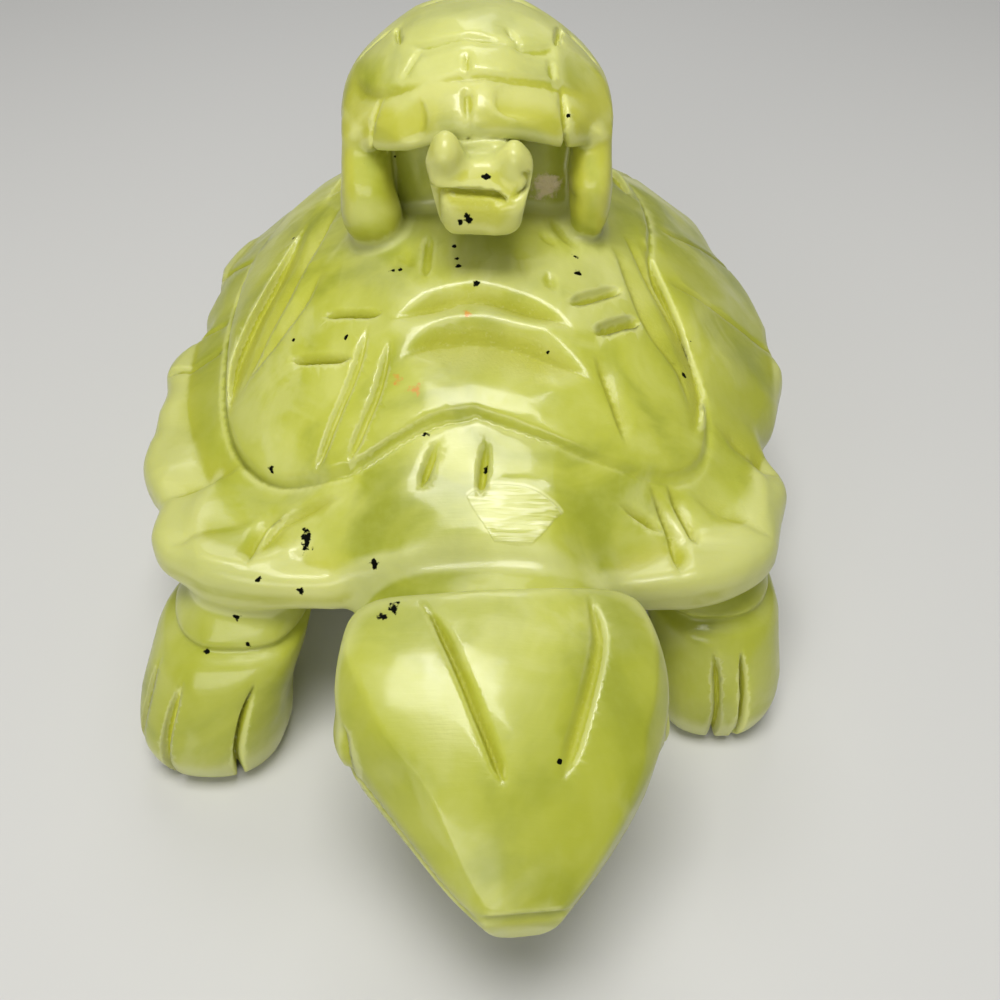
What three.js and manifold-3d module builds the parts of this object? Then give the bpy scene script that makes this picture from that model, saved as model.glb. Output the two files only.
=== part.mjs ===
// A turtle carved from one block of yellow-green jade, with a young turtle riding on its back.
// The block is one solid: shell, belly, neck, head, four legs, tail and young turtle run into each other.
// Millimetres, +Z up, standing on its four soles at z = 0, with the head towards -Y and +X on the viewer's
// right.
// Every form is laid out from a point on the ground below the mother's shell, and the finished block is
// then moved so that the middle of its outline, on the ground, is the origin.

import * as THREE from "three";
import Module from "manifold-3d";
import { mergeVertices } from "three/addons/utils/BufferGeometryUtils.js";

// Driving dimensions of the mother's shell
const shell = {
  halfWidth: 47.7,
  leftWider: 1.6, // the carver left the left side a little fuller
  middleY: -15, // where the outline is widest
  frontReach: 43,
  rearReach: 73,
  frontBlunt: 4.2, // superellipse powers: the front is blunt, the rear is rounder
  rearBlunt: 2.4,
  skirtTop: 36,
  skirtThick: 7,
  domeRise: 25.5,
  domeHalfWidth: 47,
  domeHalfLength: 58,
  domeFullness: 2.3,
  domeFlare: 1.2,
  plateStep: 1.25,
  crestY: -46.4, // the crest of the roll along the collar
  crestX: -1.5,
  crestRise: 1.5,
  crestRun: 6,
  faceFall: 0.5, // slope of the roll's face, down from the crest to the neck
};
// Share of the outline at which the raised middle plate ends, by degrees from its cusp at the front
const plateLeft = [
  [0, 0.545], [12, 0.569], [27, 0.651], [44, 0.701], [61, 0.729],
  [77, 0.761], [107, 0.807], [124, 0.818], [180, 0.76],
];
const plateRight = [
  [0, 0.545], [12, 0.577], [31, 0.642], [43, 0.69], [56, 0.709],
  [73, 0.662], [98, 0.54], [130, 0.6], [180, 0.76],
];
// Notches between the lobes of the skirt, and lobes (negative): degrees from the front, depth and half width
const skirtNotches = [
  { at: 0, deep: 3, wide: 22 },
  { at: -30, deep: 0.5, wide: 8 },
  { at: -51, deep: -0.7, wide: 4 },
  { at: -61.5, deep: 1.9, wide: 4.5 },
  { at: -72, deep: -1.3, wide: 5 },
  { at: -84, deep: -1, wide: 6 },
  { at: -97, deep: -2.1, wide: 7 },
  { at: -107, deep: 2, wide: 4.5 },
  { at: -119, deep: 0.9, wide: 4 },
  { at: -132, deep: -3.2, wide: 10 },
  { at: -150, deep: 1.5, wide: 8 },
  { at: 180, deep: 1.8, wide: 9 },
  { at: 156, deep: 1.4, wide: 6 },
  { at: 147, deep: -1.2, wide: 6 },
  { at: 129.5, deep: 2, wide: 6.5 },
  { at: 113, deep: -2.5, wide: 13 },
  { at: 95, deep: -2, wide: 7 },
  { at: 73, deep: 3.7, wide: 6.5 },
  { at: 57, deep: 1.6, wide: 8 },
];

// Driving dimensions of the mother's head, measured forward from the crease behind the crown
const head = {
  creaseY: -64.6,
  offsetX: 1.8,
  turn: THREE.MathUtils.degToRad(7.6),
  roll: THREE.MathUtils.degToRad(4.7),
  beakAt: 33,
  halfWidth: 19.6,
  widestAt: 11,
  narrowOver: 25.4,
  narrowPower: 1.76,
  backNarrowing: 0.14,
  roofTop: 46,
  roofFall: 16.1,
  middleTop: 37,
  middleFall: 9.4,
  jawBottom: 20,
  jawRise: 2,
  camber: 3.2, // how much the flat crown falls from its middle to its two edges
  crownOver: 4, // the round of the cheeks would pass this far over the crown
  snoutBend: 0.9, // the snout curves a little to the right and is pinched
  snoutPinch: 0.045,
  crownLean: 4.6, // the back of the crown leans this far forward at its top
  fullness: 2.9,
};

// Driving dimensions of the rest of the mother
const neck = { from: -38, to: -68, halfWidth: 17, halfHeight: 9.3, middleZ: 29.5 };
const belly = { halfWidth: 38, halfLength: 50, bottom: 13, top: 34 };
const tail = { root: [0, 48, 28], tip: [4, 65, 16], rootAcross: 10, rootHigh: 9 };
// Legs: where the sole and the hip stand, half sizes across and along, and toe cuts by angle from the front
const legs = [
  { sole: [-39.2, -54.4], hip: [-30.6, -44], across: 11, along: 11.6, toes: [-54, -27, 24] },
  { sole: [35.4, -48.2], hip: [32, -40], across: 9.8, along: 10.8, toes: [-6, 15] },
  { sole: [-33, 38], hip: [-29, 33], across: 9.4, along: 9.8, toes: [-120, -150] },
  { sole: [33, 38], hip: [29, 33], across: 9.4, along: 9.8, toes: [120, 150] },
];
const legShape = { height: 35, ankle: 22.3, kneeFrom: 6, taper: 0.28, fullness: 2.4, soleRound: 0.13 };

// Driving dimensions of the young turtle
const young = {
  middleX: -0.5,
  middleY: 3,
  halfWidth: 19.8,
  frontReach: 19.6,
  rearReach: 21,
  frontBlunt: 2.3,
  rearBlunt: 2,
  turn: THREE.MathUtils.degToRad(3), // it looks a little towards +X
  rimSide: 72,
  rimArch: 5.3, // the rim rises over the young head
  archWidth: 0.7,
  band: 1.4, // half height of the rim's edge
  top: 87,
  domeFullness: 2,
  domeFlare: 0.74,
};
const youngBody = { halfWidth: 17.5, front: -4.5, rear: 21, bottom: 54, top: 74 };
const youngHead = {
  back: -6,
  front: -24.2,
  halfWidth: 6.7,
  bottom: 65.7,
  top: 77.4,
  browY: -17,
  slope: 3.9,
  middleX: 0.2,
};
const youngFoot = { at: [-14.9, -11, 61.9], radii: [4.4, 3.8, 3.2] };
const youngLegs = [
  { x: -15.9, y: -7, across: 3.8, along: 6, lean: -1 },
  { x: 15.6, y: -7, across: 3.2, along: 6, lean: -1 },
  { x: -13.8, y: 14, across: 3.6, along: 6, lean: 1 },
  { x: 12.6, y: 14, across: 3.6, along: 6, lean: 1 },
];

// Knife cuts in the shell, in plan. Each follows its points, and left and right are the widths of its sides.
const crescents = [
  {
    path: [[-12, -26.3], [-6, -25.1], [1, -24.7], [8, -25.7], [15, -28]],
    left: 2.9,
    right: 1.6,
    depth: 1.7,
  },
  {
    path: [[-10.5, -32.3], [-5, -30.9], [2, -30.4], [9, -31.4], [15.5, -34.4]],
    left: 4.2,
    right: 5,
    depth: 1.8,
  },
];
const ridges = [
  { path: [[-20, -8], [-23.4, -16.8], [-26.6, -22.6], [-34.2, -31.4]], left: 0.6, right: 5, depth: 1.3 },
  { path: [[18, -9.5], [19.9, -16.5], [23.8, -22.5]], left: 0.5, right: 2.6, depth: 1 },
  { path: [[21, -7.6], [22.7, -16.9], [28.4, -28]], left: 0.5, right: 2.6, depth: 1.1 },
  { path: [[19, 30], [22, 20], [24, 8]], left: 0.5, right: 2.6, depth: 1 },
  { path: [[-20, 30], [-23, 20], [-25, 8]], left: 2.6, right: 0.5, depth: 1 },
];
const slits = [
  [[-21.9, -21.7], [-13.4, -24.9]],
  [[-25.2, -27], [-17.4, -30.3]],
  [[12.4, -23.8], [20.1, -18.7]],
  [[15.8, -27.2], [22.5, -22.5]],
  [[-15.4, -27.3], [-16.7, -32.3], [-21, -42.4]],
  [[-12.3, -30.3], [-13.6, -36.3], [-16.6, -42]],
  [[14.9, -29], [17.3, -36.3], [19.8, -40.8]],
  [[17.6, -28.2], [20.8, -36.4]],
  [[-5.7, -42.1], [-7.6, -47.4]],
  [[1.1, -42.3], [0.2, -48.4]],
  [[14.6, -46.9], [18.9, -47.5]],
  [[-17, -46.3], [-27.8, -50.4], [-28.6, -56]],
  [[-20.4, -46.2], [-29.2, -47.9], [-30.2, -52.6]],
  [[20.4, -43.1], [23.4, -48.9]],
  [[22.2, -42.8], [25.8, -48.2]],
  [[-14, 32], [0, 36], [14, 32]],
  [[-17, 42], [0, 46.5], [17, 42]],
];
const slit = { left: 0.75, right: 0.75, depth: 1 };
const marginAngles = [-124, -104, -94, -150, 180, 150, 124, 100];
const marginSlit = { left: 0.7, right: 0.7, depth: 0.9 };

// Knife cuts in the mother's crown, as distance forward of the crease and from the head's own middle line
const crownCuts = [
  [[2.5, -8.6], [10, -5.6], [22.5, -0.6]],
  [[3.5, 10.6], [9, 11.4], [15, 9.4], [23, 5.2]],
];
const crownSlit = { left: 0.85, right: 0.85, depth: 1.3 };

// Knife cuts in the young shell, in plan
const youngCuts = [
  [[-15, -9], [-6, -12.6], [4, -12.2], [14, -8]],
  [[-10.5, -4.4], [-4, -6.6], [3, -6.8], [9, -5.6]],
  [[-9.5, 6], [0, 8.5], [9, 6]],
  [[-13, 12], [0, 16], [12, 12]],
  [[-1.4, -8.6], [-1.4, -11.6]],
  [[-1.4, -14], [-1.4, -17.4]],
  [[-13.2, -10.4], [-14.8, -13]],
  [[10.4, -10.8], [11.4, -14.4]],
  [[-8.4, -6.8], [-11, -10.4]],
  [[7.6, -6.4], [11.2, -10]],
  [[4.4, -4.6], [5.2, -6.8]],
  [[-10, -3.6], [-11.5, 4]],
  [[9, -4.6], [10.6, 4]],
];
const youngSlit = { left: 0.55, right: 0.55, depth: 0.8 };

const RING = 24; // points round the mother's head
const UP = new THREE.Vector3(0, 0, 1);
const EAST = new THREE.Vector3(1, 0, 0);
const NORTH = new THREE.Vector3(0, 1, 0);

const wasm = await Module();
wasm.setup();

// Plain helpers

const clamp01 = (t) => Math.min(1, Math.max(0, t));
const lerp = (a, b, t) => a + (b - a) * t;
const smooth = (t) => clamp01(t) ** 2 * (3 - 2 * clamp01(t));
const range = (n) => Array.from({ length: n }, (_, i) => i);

// A smooth curve through pairs of place and value; the slope at each is taken from its two neighbours.
function smoothValues(at, pairs) {
  const last = pairs.length - 1;
  const slopeAt = (i) => {
    const [before, after] = [pairs[Math.max(0, i - 1)], pairs[Math.min(last, i + 1)]];
    return (after[1] - before[1]) / (after[0] - before[0]);
  };
  const next = pairs.findIndex(([place]) => place >= at);
  const i = Math.max(0, Math.min(last, next < 0 ? last : next) - 1);
  const width = pairs[i + 1][0] - pairs[i][0];
  const t = clamp01((at - pairs[i][0]) / width);
  const bend = slopeAt(i) * t * (1 - t) ** 2 - slopeAt(i + 1) * t * t * (1 - t);
  return lerp(pairs[i][1], pairs[i + 1][1], smooth(t)) + width * bend;
}

// Distance from the middle of a superellipse to its edge, in the direction whose sine and cosine are given.
function superRadius(sine, cosine, halfAcross, halfAlong, power) {
  const sum =
    Math.abs(sine / halfAcross) ** power +
    Math.abs(cosine / halfAlong) ** power;
  return sum ** (-1 / power);
}

// A closed solid through a stack of rings that all have the same number of points, closed at both ends.
// Each ring runs round its own direction of travel by the right-hand rule.
function loft(rings, firstPole, lastPole) {
  const n = rings[0].length;
  const middle = (ring) =>
    ring
      .reduce((sum, p) => sum.add(p), new THREE.Vector3())
      .divideScalar(ring.length);
  const points = [...rings.flat()];
  points.push(firstPole ?? middle(rings[0]), lastPole ?? middle(rings.at(-1)));
  const first = points.length - 2;
  const last = points.length - 1;
  const faces = [];
  const top = (rings.length - 1) * n;
  for (const j of range(n)) {
    const next = (j + 1) % n;
    for (const i of range(rings.length - 1)) {
      const [a, b, c, d] = [
        i * n + j,
        i * n + next,
        (i + 1) * n + next,
        (i + 1) * n + j,
      ];
      faces.push(a, b, c, a, c, d);
    }
    faces.push(first, next, j, last, top + j, top + next);
  }
  return new THREE.BufferGeometry()
    .setAttribute(
      "position",
      new THREE.Float32BufferAttribute(
        points.flatMap((p) => p.toArray()),
        3,
      ),
    )
    .setIndex(faces);
}

// A closed geometry as a solid that can be joined and cut.
function solidOf(geometry) {
  const bare = new THREE.BufferGeometry().setAttribute(
    "position",
    geometry.getAttribute("position"),
  );
  bare.setIndex(geometry.getIndex());
  const merged = mergeVertices(bare, 1e-4);
  return new wasm.Manifold(
    new wasm.Mesh({
      numProp: 3,
      vertProperties: merged.attributes.position.array,
      triVerts: new Uint32Array(merged.index.array),
    }),
  );
}

// A solid back as a geometry.
function geometryOf(solid) {
  const mesh = solid.getMesh();
  const corners = new Float32Array(mesh.numVert * 3);
  for (const i of range(mesh.numVert)) {
    const from = i * mesh.numProp;
    corners.set(mesh.vertProperties.subarray(from, from + 3), i * 3);
  }
  return new THREE.BufferGeometry()
    .setAttribute("position", new THREE.BufferAttribute(corners, 3))
    .setIndex(new THREE.BufferAttribute(mesh.triVerts, 1));
}

// A flat ring round a point: across and lift are the two directions it spreads in.
function ring(count, middle, across, lift, halfAcross, halfUp, power = 2) {
  return range(count).map((i) => {
    const angle = (i / count) * 2 * Math.PI;
    const r = superRadius(Math.sin(angle), Math.cos(angle), halfUp, halfAcross, power);
    return middle
      .clone()
      .addScaledVector(across, r * Math.cos(angle))
      .addScaledVector(lift, r * Math.sin(angle));
  });
}

// An egg of stone, for swellings.
function egg(middle, radii) {
  const rings = range(5).map((i) => {
    const tilt = ((i + 0.5) / 5 - 0.5) * Math.PI;
    const at = middle.clone().addScaledVector(UP, radii[2] * Math.sin(tilt));
    const share = Math.cos(tilt);
    return ring(10, at, EAST, NORTH, radii[0] * share, radii[1] * share);
  });
  return solidOf(loft(rings));
}

// The outward direction of a surface given as a height over the plan.
function slopeNormal(heightAt, x, y) {
  const d = 0.6;
  return new THREE.Vector3(
    heightAt(x - d, y) - heightAt(x + d, y),
    heightAt(x, y - d) - heightAt(x, y + d),
    2 * d,
  ).normalize();
}

// Evenly spaced stations along a smooth curve drawn on a surface given as a height over the plan.
function trace(plan, heightAt, stride = 7) {
  const curve = new THREE.CatmullRomCurve3(
    plan.map(([x, y]) => new THREE.Vector3(x, y, 0)),
  );
  const steps = Math.max(2, Math.round(curve.getLength() / stride));
  return curve.getSpacedPoints(steps).map((p) => ({
    point: new THREE.Vector3(p.x, p.y, heightAt(p.x, p.y)),
    normal: slopeNormal(heightAt, p.x, p.y),
  }));
}

// A knife cut along stations on a surface: a V whose two sides may differ, deepest in the middle of its
// length and running out at both ends.
function knifeCut(path, { left, right, depth }, runOut = 0.3) {
  const over = 0.8; // the V carries on this far outside the stone
  const rings = path.map(({ point, normal }, i) => {
    const before = path[Math.max(0, i - 1)].point;
    const after = path[Math.min(path.length - 1, i + 1)].point;
    const along = after.clone().sub(before).normalize();
    const side = along.clone().cross(normal).normalize();
    const t = i / (path.length - 1);
    const share = Math.max(0.12, smooth(Math.min(t, 1 - t) / runOut));
    const widen = share + over / depth;
    const edge = (reach) =>
      point
        .clone()
        .addScaledVector(normal, over)
        .addScaledVector(side, reach * widen);
    return [
      edge(right),
      point.clone().addScaledVector(normal, -depth * share),
      edge(-left),
    ];
  });
  return solidOf(loft(rings));
}

// The mother's shell

// Outline of the skirt, as a distance from the shell's middle; the angle runs from the front towards +X.
function plainOutline(angle) {
  const front = Math.cos(angle) > 0;
  const side = shell.halfWidth - shell.leftWider * Math.sin(angle);
  return superRadius(
    Math.sin(angle),
    Math.cos(angle),
    side,
    front ? shell.frontReach : shell.rearReach,
    front ? shell.frontBlunt : shell.rearBlunt,
  );
}

// How deep the nearest notch is at an angle, in millimetres.
function notchDepth(angle) {
  return skirtNotches.reduce((sum, notch) => {
    const away =
      THREE.MathUtils.radToDeg(angle) - notch.at;
    const turn = ((((away + 180) % 360) + 360) % 360) - 180;
    return sum + notch.deep * Math.exp(-((turn / notch.wide) ** 2));
  }, 0);
}

const skirtOutline = (angle) => plainOutline(angle) - notchDepth(angle);

// Outline of the raised plate: a share of the skirt's, drawn back to a cusp at the front.
function plateOutline(angle) {
  const turn = THREE.MathUtils.radToDeg(Math.atan2(Math.sin(angle), Math.cos(angle)));
  const side = turn < 0 ? plateLeft : plateRight;
  return plainOutline(angle) * smoothValues(Math.abs(turn), side);
}

// The roll of the collar: a ramp up to a crest, and a flat face that falls away in front of it.
function collarRise(x, y) {
  const off = (x - shell.crestX) / 12;
  const ahead = shell.crestY - 2.3 * Math.min(1.6, Math.abs(off)) ** 3 - y;
  const ramp = shell.crestRise * Math.max(0, 1 + ahead / shell.crestRun);
  const crest = domeHeight(x, y + Math.max(0, ahead)) + shell.crestRise;
  const face = crest - shell.faceFall * ahead - domeHeight(x, y);
  return (ahead < 0 ? ramp : face) * (1 - smooth(Math.abs(off) - 0.9));
}

// Height of the plain dome over a point of the plan.
function domeHeight(x, y) {
  const reach =
    Math.abs(x / shell.domeHalfWidth) ** shell.domeFullness +
    Math.abs(y / shell.domeHalfLength) ** shell.domeFullness;
  return (
    shell.skirtTop +
    shell.domeRise * Math.max(0, 1 - reach) ** shell.domeFlare
  );
}

// Height of the carved shell: the skirt lies a step below the plate, and dips at its notches.
function shellHeight(x, y) {
  const angle = Math.atan2(x, shell.middleY - y);
  const away = Math.hypot(x, y - shell.middleY);
  const plate = plateOutline(angle);
  const out = clamp01((away - plate) / (plainOutline(angle) - plate));
  const step = away > plate ? shell.plateStep * (1 - 0.6 * out) : 0;
  const dip = 0.45 * Math.max(0, notchDepth(angle)) * out;
  return domeHeight(x, y) + collarRise(x, y) - step - dip;
}

const shellPoint = (angle, away, z) =>
  new THREE.Vector3(
    away * Math.sin(angle),
    shell.middleY - away * Math.cos(angle),
    z,
  );

function motherShell() {
  const sectors = 66;
  const angles = range(sectors).map((i) => (i / sectors) * 2 * Math.PI);
  const rimMiddle = shell.skirtTop - shell.skirtThick * 0.45;
  const rimBottom = shell.skirtTop - shell.skirtThick;
  const under = [
    { share: 0.7, z: rimBottom - 1.5 },
    { share: 0.94, z: rimBottom },
    { share: 1, z: rimMiddle - 0.6 },
  ];
  const rings = under.map(({ share, z }) =>
    angles.map((a) => shellPoint(a, skirtOutline(a) * share, z)),
  );
  // Over the skirt from its edge to the plate's groove, then over the plate to the top.
  const overSkirt = [0.96, 0.72, 0.48, 0.25, 0.05];
  for (const share of overSkirt)
    rings.push(
      angles.map((a) => {
        const away = lerp(plateOutline(a), skirtOutline(a), share);
        const p = shellPoint(a, away, 0);
        return p.setZ(shellHeight(p.x, p.y) - (share > 0.9 ? 0.6 : 0));
      }),
    );
  const grooveDepth = 0.8;
  rings.push(
    angles.map((a) => {
      const p = shellPoint(a, plateOutline(a) * 1.004, 0);
      return p.setZ(shellHeight(p.x, p.y) - grooveDepth);
    }),
  );
  const overPlate = [0.97, 0.82, 0.62, 0.4, 0.18];
  for (const share of overPlate)
    rings.push(
      angles.map((a) => {
        const p = shellPoint(a, plateOutline(a) * share, 0);
        return p.setZ(shellHeight(p.x, p.y));
      }),
    );
  const middleTop = shellHeight(0, shell.middleY);
  return solidOf(
    loft(
      rings,
      shellPoint(0, 0, rimBottom - 3),
      shellPoint(0, 0, middleTop),
    ),
  );
}

// Neck, belly and tail

// The neck flares where it comes out of the collar.
function motherNeck() {
  const stations = [0, 0.36, 0.54, 0.7, 1];
  const rings = stations.map((t) => {
    const flare = 1 + 0.75 * (1 - smooth(t / 0.72)) ** 1.6;
    const middle = new THREE.Vector3(
      head.offsetX * t,
      lerp(neck.from, neck.to, t),
      neck.middleZ - 1.5 * (flare - 1),
    );
    return ring(20, middle, EAST, UP, neck.halfWidth * flare, neck.halfHeight, 2.3);
  });
  return solidOf(loft(rings));
}

function motherBelly() {
  const rings = [
    [0, 0.8],
    [0.12, 0.93],
    [0.35, 1],
    [1, 1],
  ].map(([t, share]) =>
    ring(
      28,
      new THREE.Vector3(0, 0, lerp(belly.bottom, belly.top, t)),
      EAST,
      NORTH,
      belly.halfWidth * share,
      belly.halfLength * share,
      2.3,
    ),
  );
  return solidOf(loft(rings));
}

function motherTail() {
  const root = new THREE.Vector3(...tail.root);
  const tip = new THREE.Vector3(...tail.tip);
  const rings = [0, 0.4, 0.7, 0.9, 1].map((t) => {
    const share = Math.sqrt(1 - 0.93 * t ** 1.6);
    return ring(
      14,
      root.clone().lerp(tip, t),
      UP,
      EAST,
      tail.rootHigh * share,
      tail.rootAcross * share,
    );
  });
  return solidOf(loft(rings));
}

// The mother's legs

// A point on a leg: stumpy, with the sole rounded over and a groove round the ankle.
function legPoint(leg, angle, z) {
  const rounding = legShape.soleRound * (1 - clamp01(z / 3)) ** 2;
  const ankle = 0.1 * Math.exp(-(((z - legShape.ankle) / 0.8) ** 2));
  const taper = legShape.taper * smooth((z - 18) / 14);
  const share = 1 - rounding - ankle - taper;
  const t = smooth((z - legShape.kneeFrom) / (legShape.height - legShape.kneeFrom));
  const out = superRadius(
    Math.sin(angle),
    Math.cos(angle),
    leg.across * share,
    leg.along * share,
    legShape.fullness,
  );
  return new THREE.Vector3(
    lerp(leg.sole[0], leg.hip[0], t) + out * Math.sin(angle),
    lerp(leg.sole[1], leg.hip[1], t) - out * Math.cos(angle),
    z,
  );
}

function motherLeg(leg) {
  const heights = [0, 0.9, 3, 12, 20.9, 22.3, 23.7, 29, legShape.height];
  const rings = heights.map((z) =>
    range(16).map((i) => legPoint(leg, (i / 16) * 2 * Math.PI, z)),
  );
  return solidOf(loft(rings));
}

// A cut between two toes, from under the ankle to the sole.
function toeCut(leg, degrees) {
  const angle = THREE.MathUtils.degToRad(degrees);
  const out = new THREE.Vector3(Math.sin(angle), -Math.cos(angle), 0);
  const path = [19.5, 14, 7, -1.5].map((z) => ({
    point: legPoint(leg, angle, z),
    normal: out,
  }));
  return knifeCut(path, { left: 0.8, right: 0.8, depth: 1.8 }, 0.2);
}

// The mother's head

// From the head's own frame (forward of the crease, across, height) to the block's.
function headPlace(forward, across, height) {
  const tipped = across * Math.cos(head.roll) + (height - head.middleTop) * Math.sin(head.roll);
  const lifted = (height - head.middleTop) * Math.cos(head.roll) - across * Math.sin(head.roll);
  return new THREE.Vector3(
    head.offsetX + forward * Math.sin(head.turn) + tipped * Math.cos(head.turn),
    head.creaseY - forward * Math.cos(head.turn) + tipped * Math.sin(head.turn),
    head.middleTop + lifted,
  );
}

// How much of the snout's bend there is at a distance forward of the crease.
const snoutShare = (s) => Math.exp(-(((s - 22) / 8) ** 2));

// Half width of the head: narrowing in a round to the beak, and a little to the crease.
function headHalfWidth(s) {
  const behind = Math.max(0, head.widestAt - s) / head.widestAt;
  const ahead = Math.max(0, s - head.widestAt) / head.narrowOver;
  const pinch = head.snoutPinch * snoutShare(s);
  return head.halfWidth * (1 - head.backNarrowing * behind ** 2 - ahead ** head.narrowPower - pinch);
}

const headTop = (s) => head.roofTop - head.roofFall * (Math.max(s, 0) / head.beakAt) ** 1.8;
const headMiddle = (s) => head.middleTop - head.middleFall * (Math.max(s, 0) / head.beakAt) ** 1.6;
const headRoof = (s, across) =>
  headTop(s) - head.camber * (across / headHalfWidth(s)) ** 2;

// Round cheeks under a flatter crown, which meet in a ridge on either side; lean carries the crown forward.
function headRing(s, share, shrink = 1, lean = 0) {
  const half = headHalfWidth(s) * shrink;
  const middle = headMiddle(s);
  const bottom = head.jawBottom + (head.jawRise * Math.max(s, 0)) / head.beakAt;
  return range(RING).map((i) => {
    const angle = (i / RING) * 2 * Math.PI;
    const [c, n] = [Math.cos(angle), Math.sin(angle)];
    const above = headTop(s) + head.crownOver - middle;
    const across = Math.sign(c) * Math.abs(c) ** (2 / head.fullness);
    const rise = Math.sign(n) * Math.abs(n) ** (2 / head.fullness);
    const round = rise > 0 ? above * rise : (middle - bottom) * rise;
    const height = Math.min(round, headTop(s) - head.camber * across ** 2 - middle);
    const forward = s + lean * clamp01(height / above);
    const aside = half * across * share + head.snoutBend * snoutShare(s);
    return headPlace(forward, aside, middle + height * share);
  });
}

function motherHead() {
  const rings = [
    headRing(-3.4, 0.7, 1, head.crownLean),
    headRing(-1.3, 0.9, 1, head.crownLean),
    headRing(0.8, 1, 1, head.crownLean * 0.6),
    ...[5, 10, 15, 20, 25, 28.6, 31.4].map((s) => headRing(s, 1)),
    headRing(33, 0.72, 1.25),
  ];
  return solidOf(loft(rings));
}

function crownCut(plan) {
  const path = trace(plan, headRoof).map(({ point }) => {
    const onCrown = headPlace(point.x, point.y, point.z);
    const above = headPlace(point.x + 0.35, point.y, point.z + 1);
    return { point: onCrown, normal: above.sub(onCrown).normalize() };
  });
  return knifeCut(path, crownSlit, 0.2);
}

// The lip line along each cheek, and an eye swelling with a cut round its front.
function lipCut(side) {
  const path = [14, 20, 26, 32].map((s) => ({
    point: headPlace(s, side * headHalfWidth(s) * 0.97, headMiddle(s) - 3),
    normal: headPlace(s + 0.5, side, 33).sub(headPlace(s, 0, 33.2)).normalize(),
  }));
  return knifeCut(path, { left: 0.7, right: 0.7, depth: 0.8 }, 0.2);
}

function eyeSwelling(side) {
  const s = 12.5;
  return egg(headPlace(s, side * (headHalfWidth(s) - 1.8), headMiddle(s) - 2.5), [2.4, 3.8, 3]);
}

function eyeCut(side) {
  const path = range(4).map((i) => {
    const angle = lerp(-1.1, 1.1, i / 3);
    const s = 12 + 3.8 * Math.cos(angle);
    return {
      point: headPlace(s, side * (headHalfWidth(s) - 0.4), headMiddle(s) - 2.5 + 3.2 * Math.sin(angle)),
      normal: headPlace(s, side, 33).sub(headPlace(s, 0, 33)).normalize(),
    };
  });
  return knifeCut(path, { left: 0.6, right: 0.6, depth: 0.9 }, 0.3);
}

// The young turtle

const youngTurn = (x, y) =>
  Math.atan2(x - young.middleX, young.middleY - y) - young.turn;

const youngOutline = (angle) =>
  superRadius(
    Math.sin(angle),
    Math.cos(angle),
    young.halfWidth,
    Math.cos(angle) > 0 ? young.frontReach : young.rearReach,
    Math.cos(angle) > 0 ? young.frontBlunt : young.rearBlunt,
  );

// Height of the middle of the rim's band.
function youngRim(angle) {
  const turn = Math.atan2(Math.sin(angle), Math.cos(angle));
  return young.rimSide + young.rimArch * Math.exp(-((turn / young.archWidth) ** 2));
}

function youngHeight(x, y) {
  const angle = youngTurn(x, y);
  const share = Math.hypot(x - young.middleX, y - young.middleY) / youngOutline(angle);
  const base = youngRim(angle) + young.band;
  const round = Math.max(0, 1 - share ** young.domeFullness) ** young.domeFlare;
  return base + (young.top - base) * round;
}

function youngShell() {
  const angles = range(32).map((i) => (i / 32) * 2 * Math.PI);
  const at = (angle, share, z) => {
    const away = youngOutline(angle) * share;
    return new THREE.Vector3(
      young.middleX + away * Math.sin(angle + young.turn),
      young.middleY - away * Math.cos(angle + young.turn),
      z,
    );
  };
  const band = [
    [0.8, -1],
    [0.97, -1],
    [1, -0.4],
    [1, 0.6],
  ];
  const rings = band.map(([share, lift]) =>
    angles.map((a) => at(a, share, youngRim(a) + lift * young.band)),
  );
  for (const share of [0.985, 0.93, 0.82, 0.62, 0.36])
    rings.push(
      angles.map((a) => {
        const p = at(a, share, 0);
        return p.setZ(youngHeight(p.x, p.y));
      }),
    );
  return solidOf(loft(rings, undefined, new THREE.Vector3(young.middleX, young.middleY, young.top)));
}

function youngTorso() {
  const length = youngBody.rear - youngBody.front;
  const rings = [0, 1].map((t) =>
    ring(
      20,
      new THREE.Vector3(
        young.middleX,
        youngBody.front + length / 2,
        lerp(youngBody.bottom, youngBody.top, t),
      ),
      EAST,
      NORTH,
      youngBody.halfWidth,
      length / 2,
      3.4,
    ),
  );
  return solidOf(loft(rings));
}

// A young leg: a post whose foot draws back under it.
function youngLeg(leg) {
  const stations = [
    [55, 0.7, 2.6],
    [59.5, 0.85, 1.4],
    [62.5, 1, 0.2],
    [75, 0.95, 0],
  ];
  const rings = stations.map(([z, share, back]) =>
    ring(
      12,
      new THREE.Vector3(leg.x, leg.y - leg.lean * back, z),
      EAST,
      NORTH,
      leg.across * share,
      leg.along * share,
      2.8,
    ),
  );
  return solidOf(loft(rings));
}

// A block whose brow slopes down to the mouth, with a round notch between two lumps over the eyes.
function youngHeadSolid() {
  const { back, front, halfWidth, bottom, top, middleX } = youngHead;
  const rings = [back, youngHead.browY, -20, -22.5, front].map((y) => {
    const ahead = clamp01((youngHead.browY - y) / (youngHead.browY - front));
    const share = 1 - 0.18 * ahead ** 3;
    const roof = top - youngHead.slope * ahead ** 0.8;
    const middle = new THREE.Vector3(middleX, y, (roof + bottom + ahead) / 2);
    const halfHigh = (roof - bottom - ahead) / 2;
    return ring(16, middle, EAST, UP, halfWidth * share, halfHigh, 4);
  });
  const stations = [-8, -14, -18, -20.5].map((y) => ({
    point: new THREE.Vector3(0.4, y, 77),
    normal: new THREE.Vector3(0, 0, 1),
  }));
  return solidOf(loft(rings)).subtract(
    knifeCut(stations, { left: 2.6, right: 2.6, depth: 3 }, 0.3),
  );
}

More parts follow.
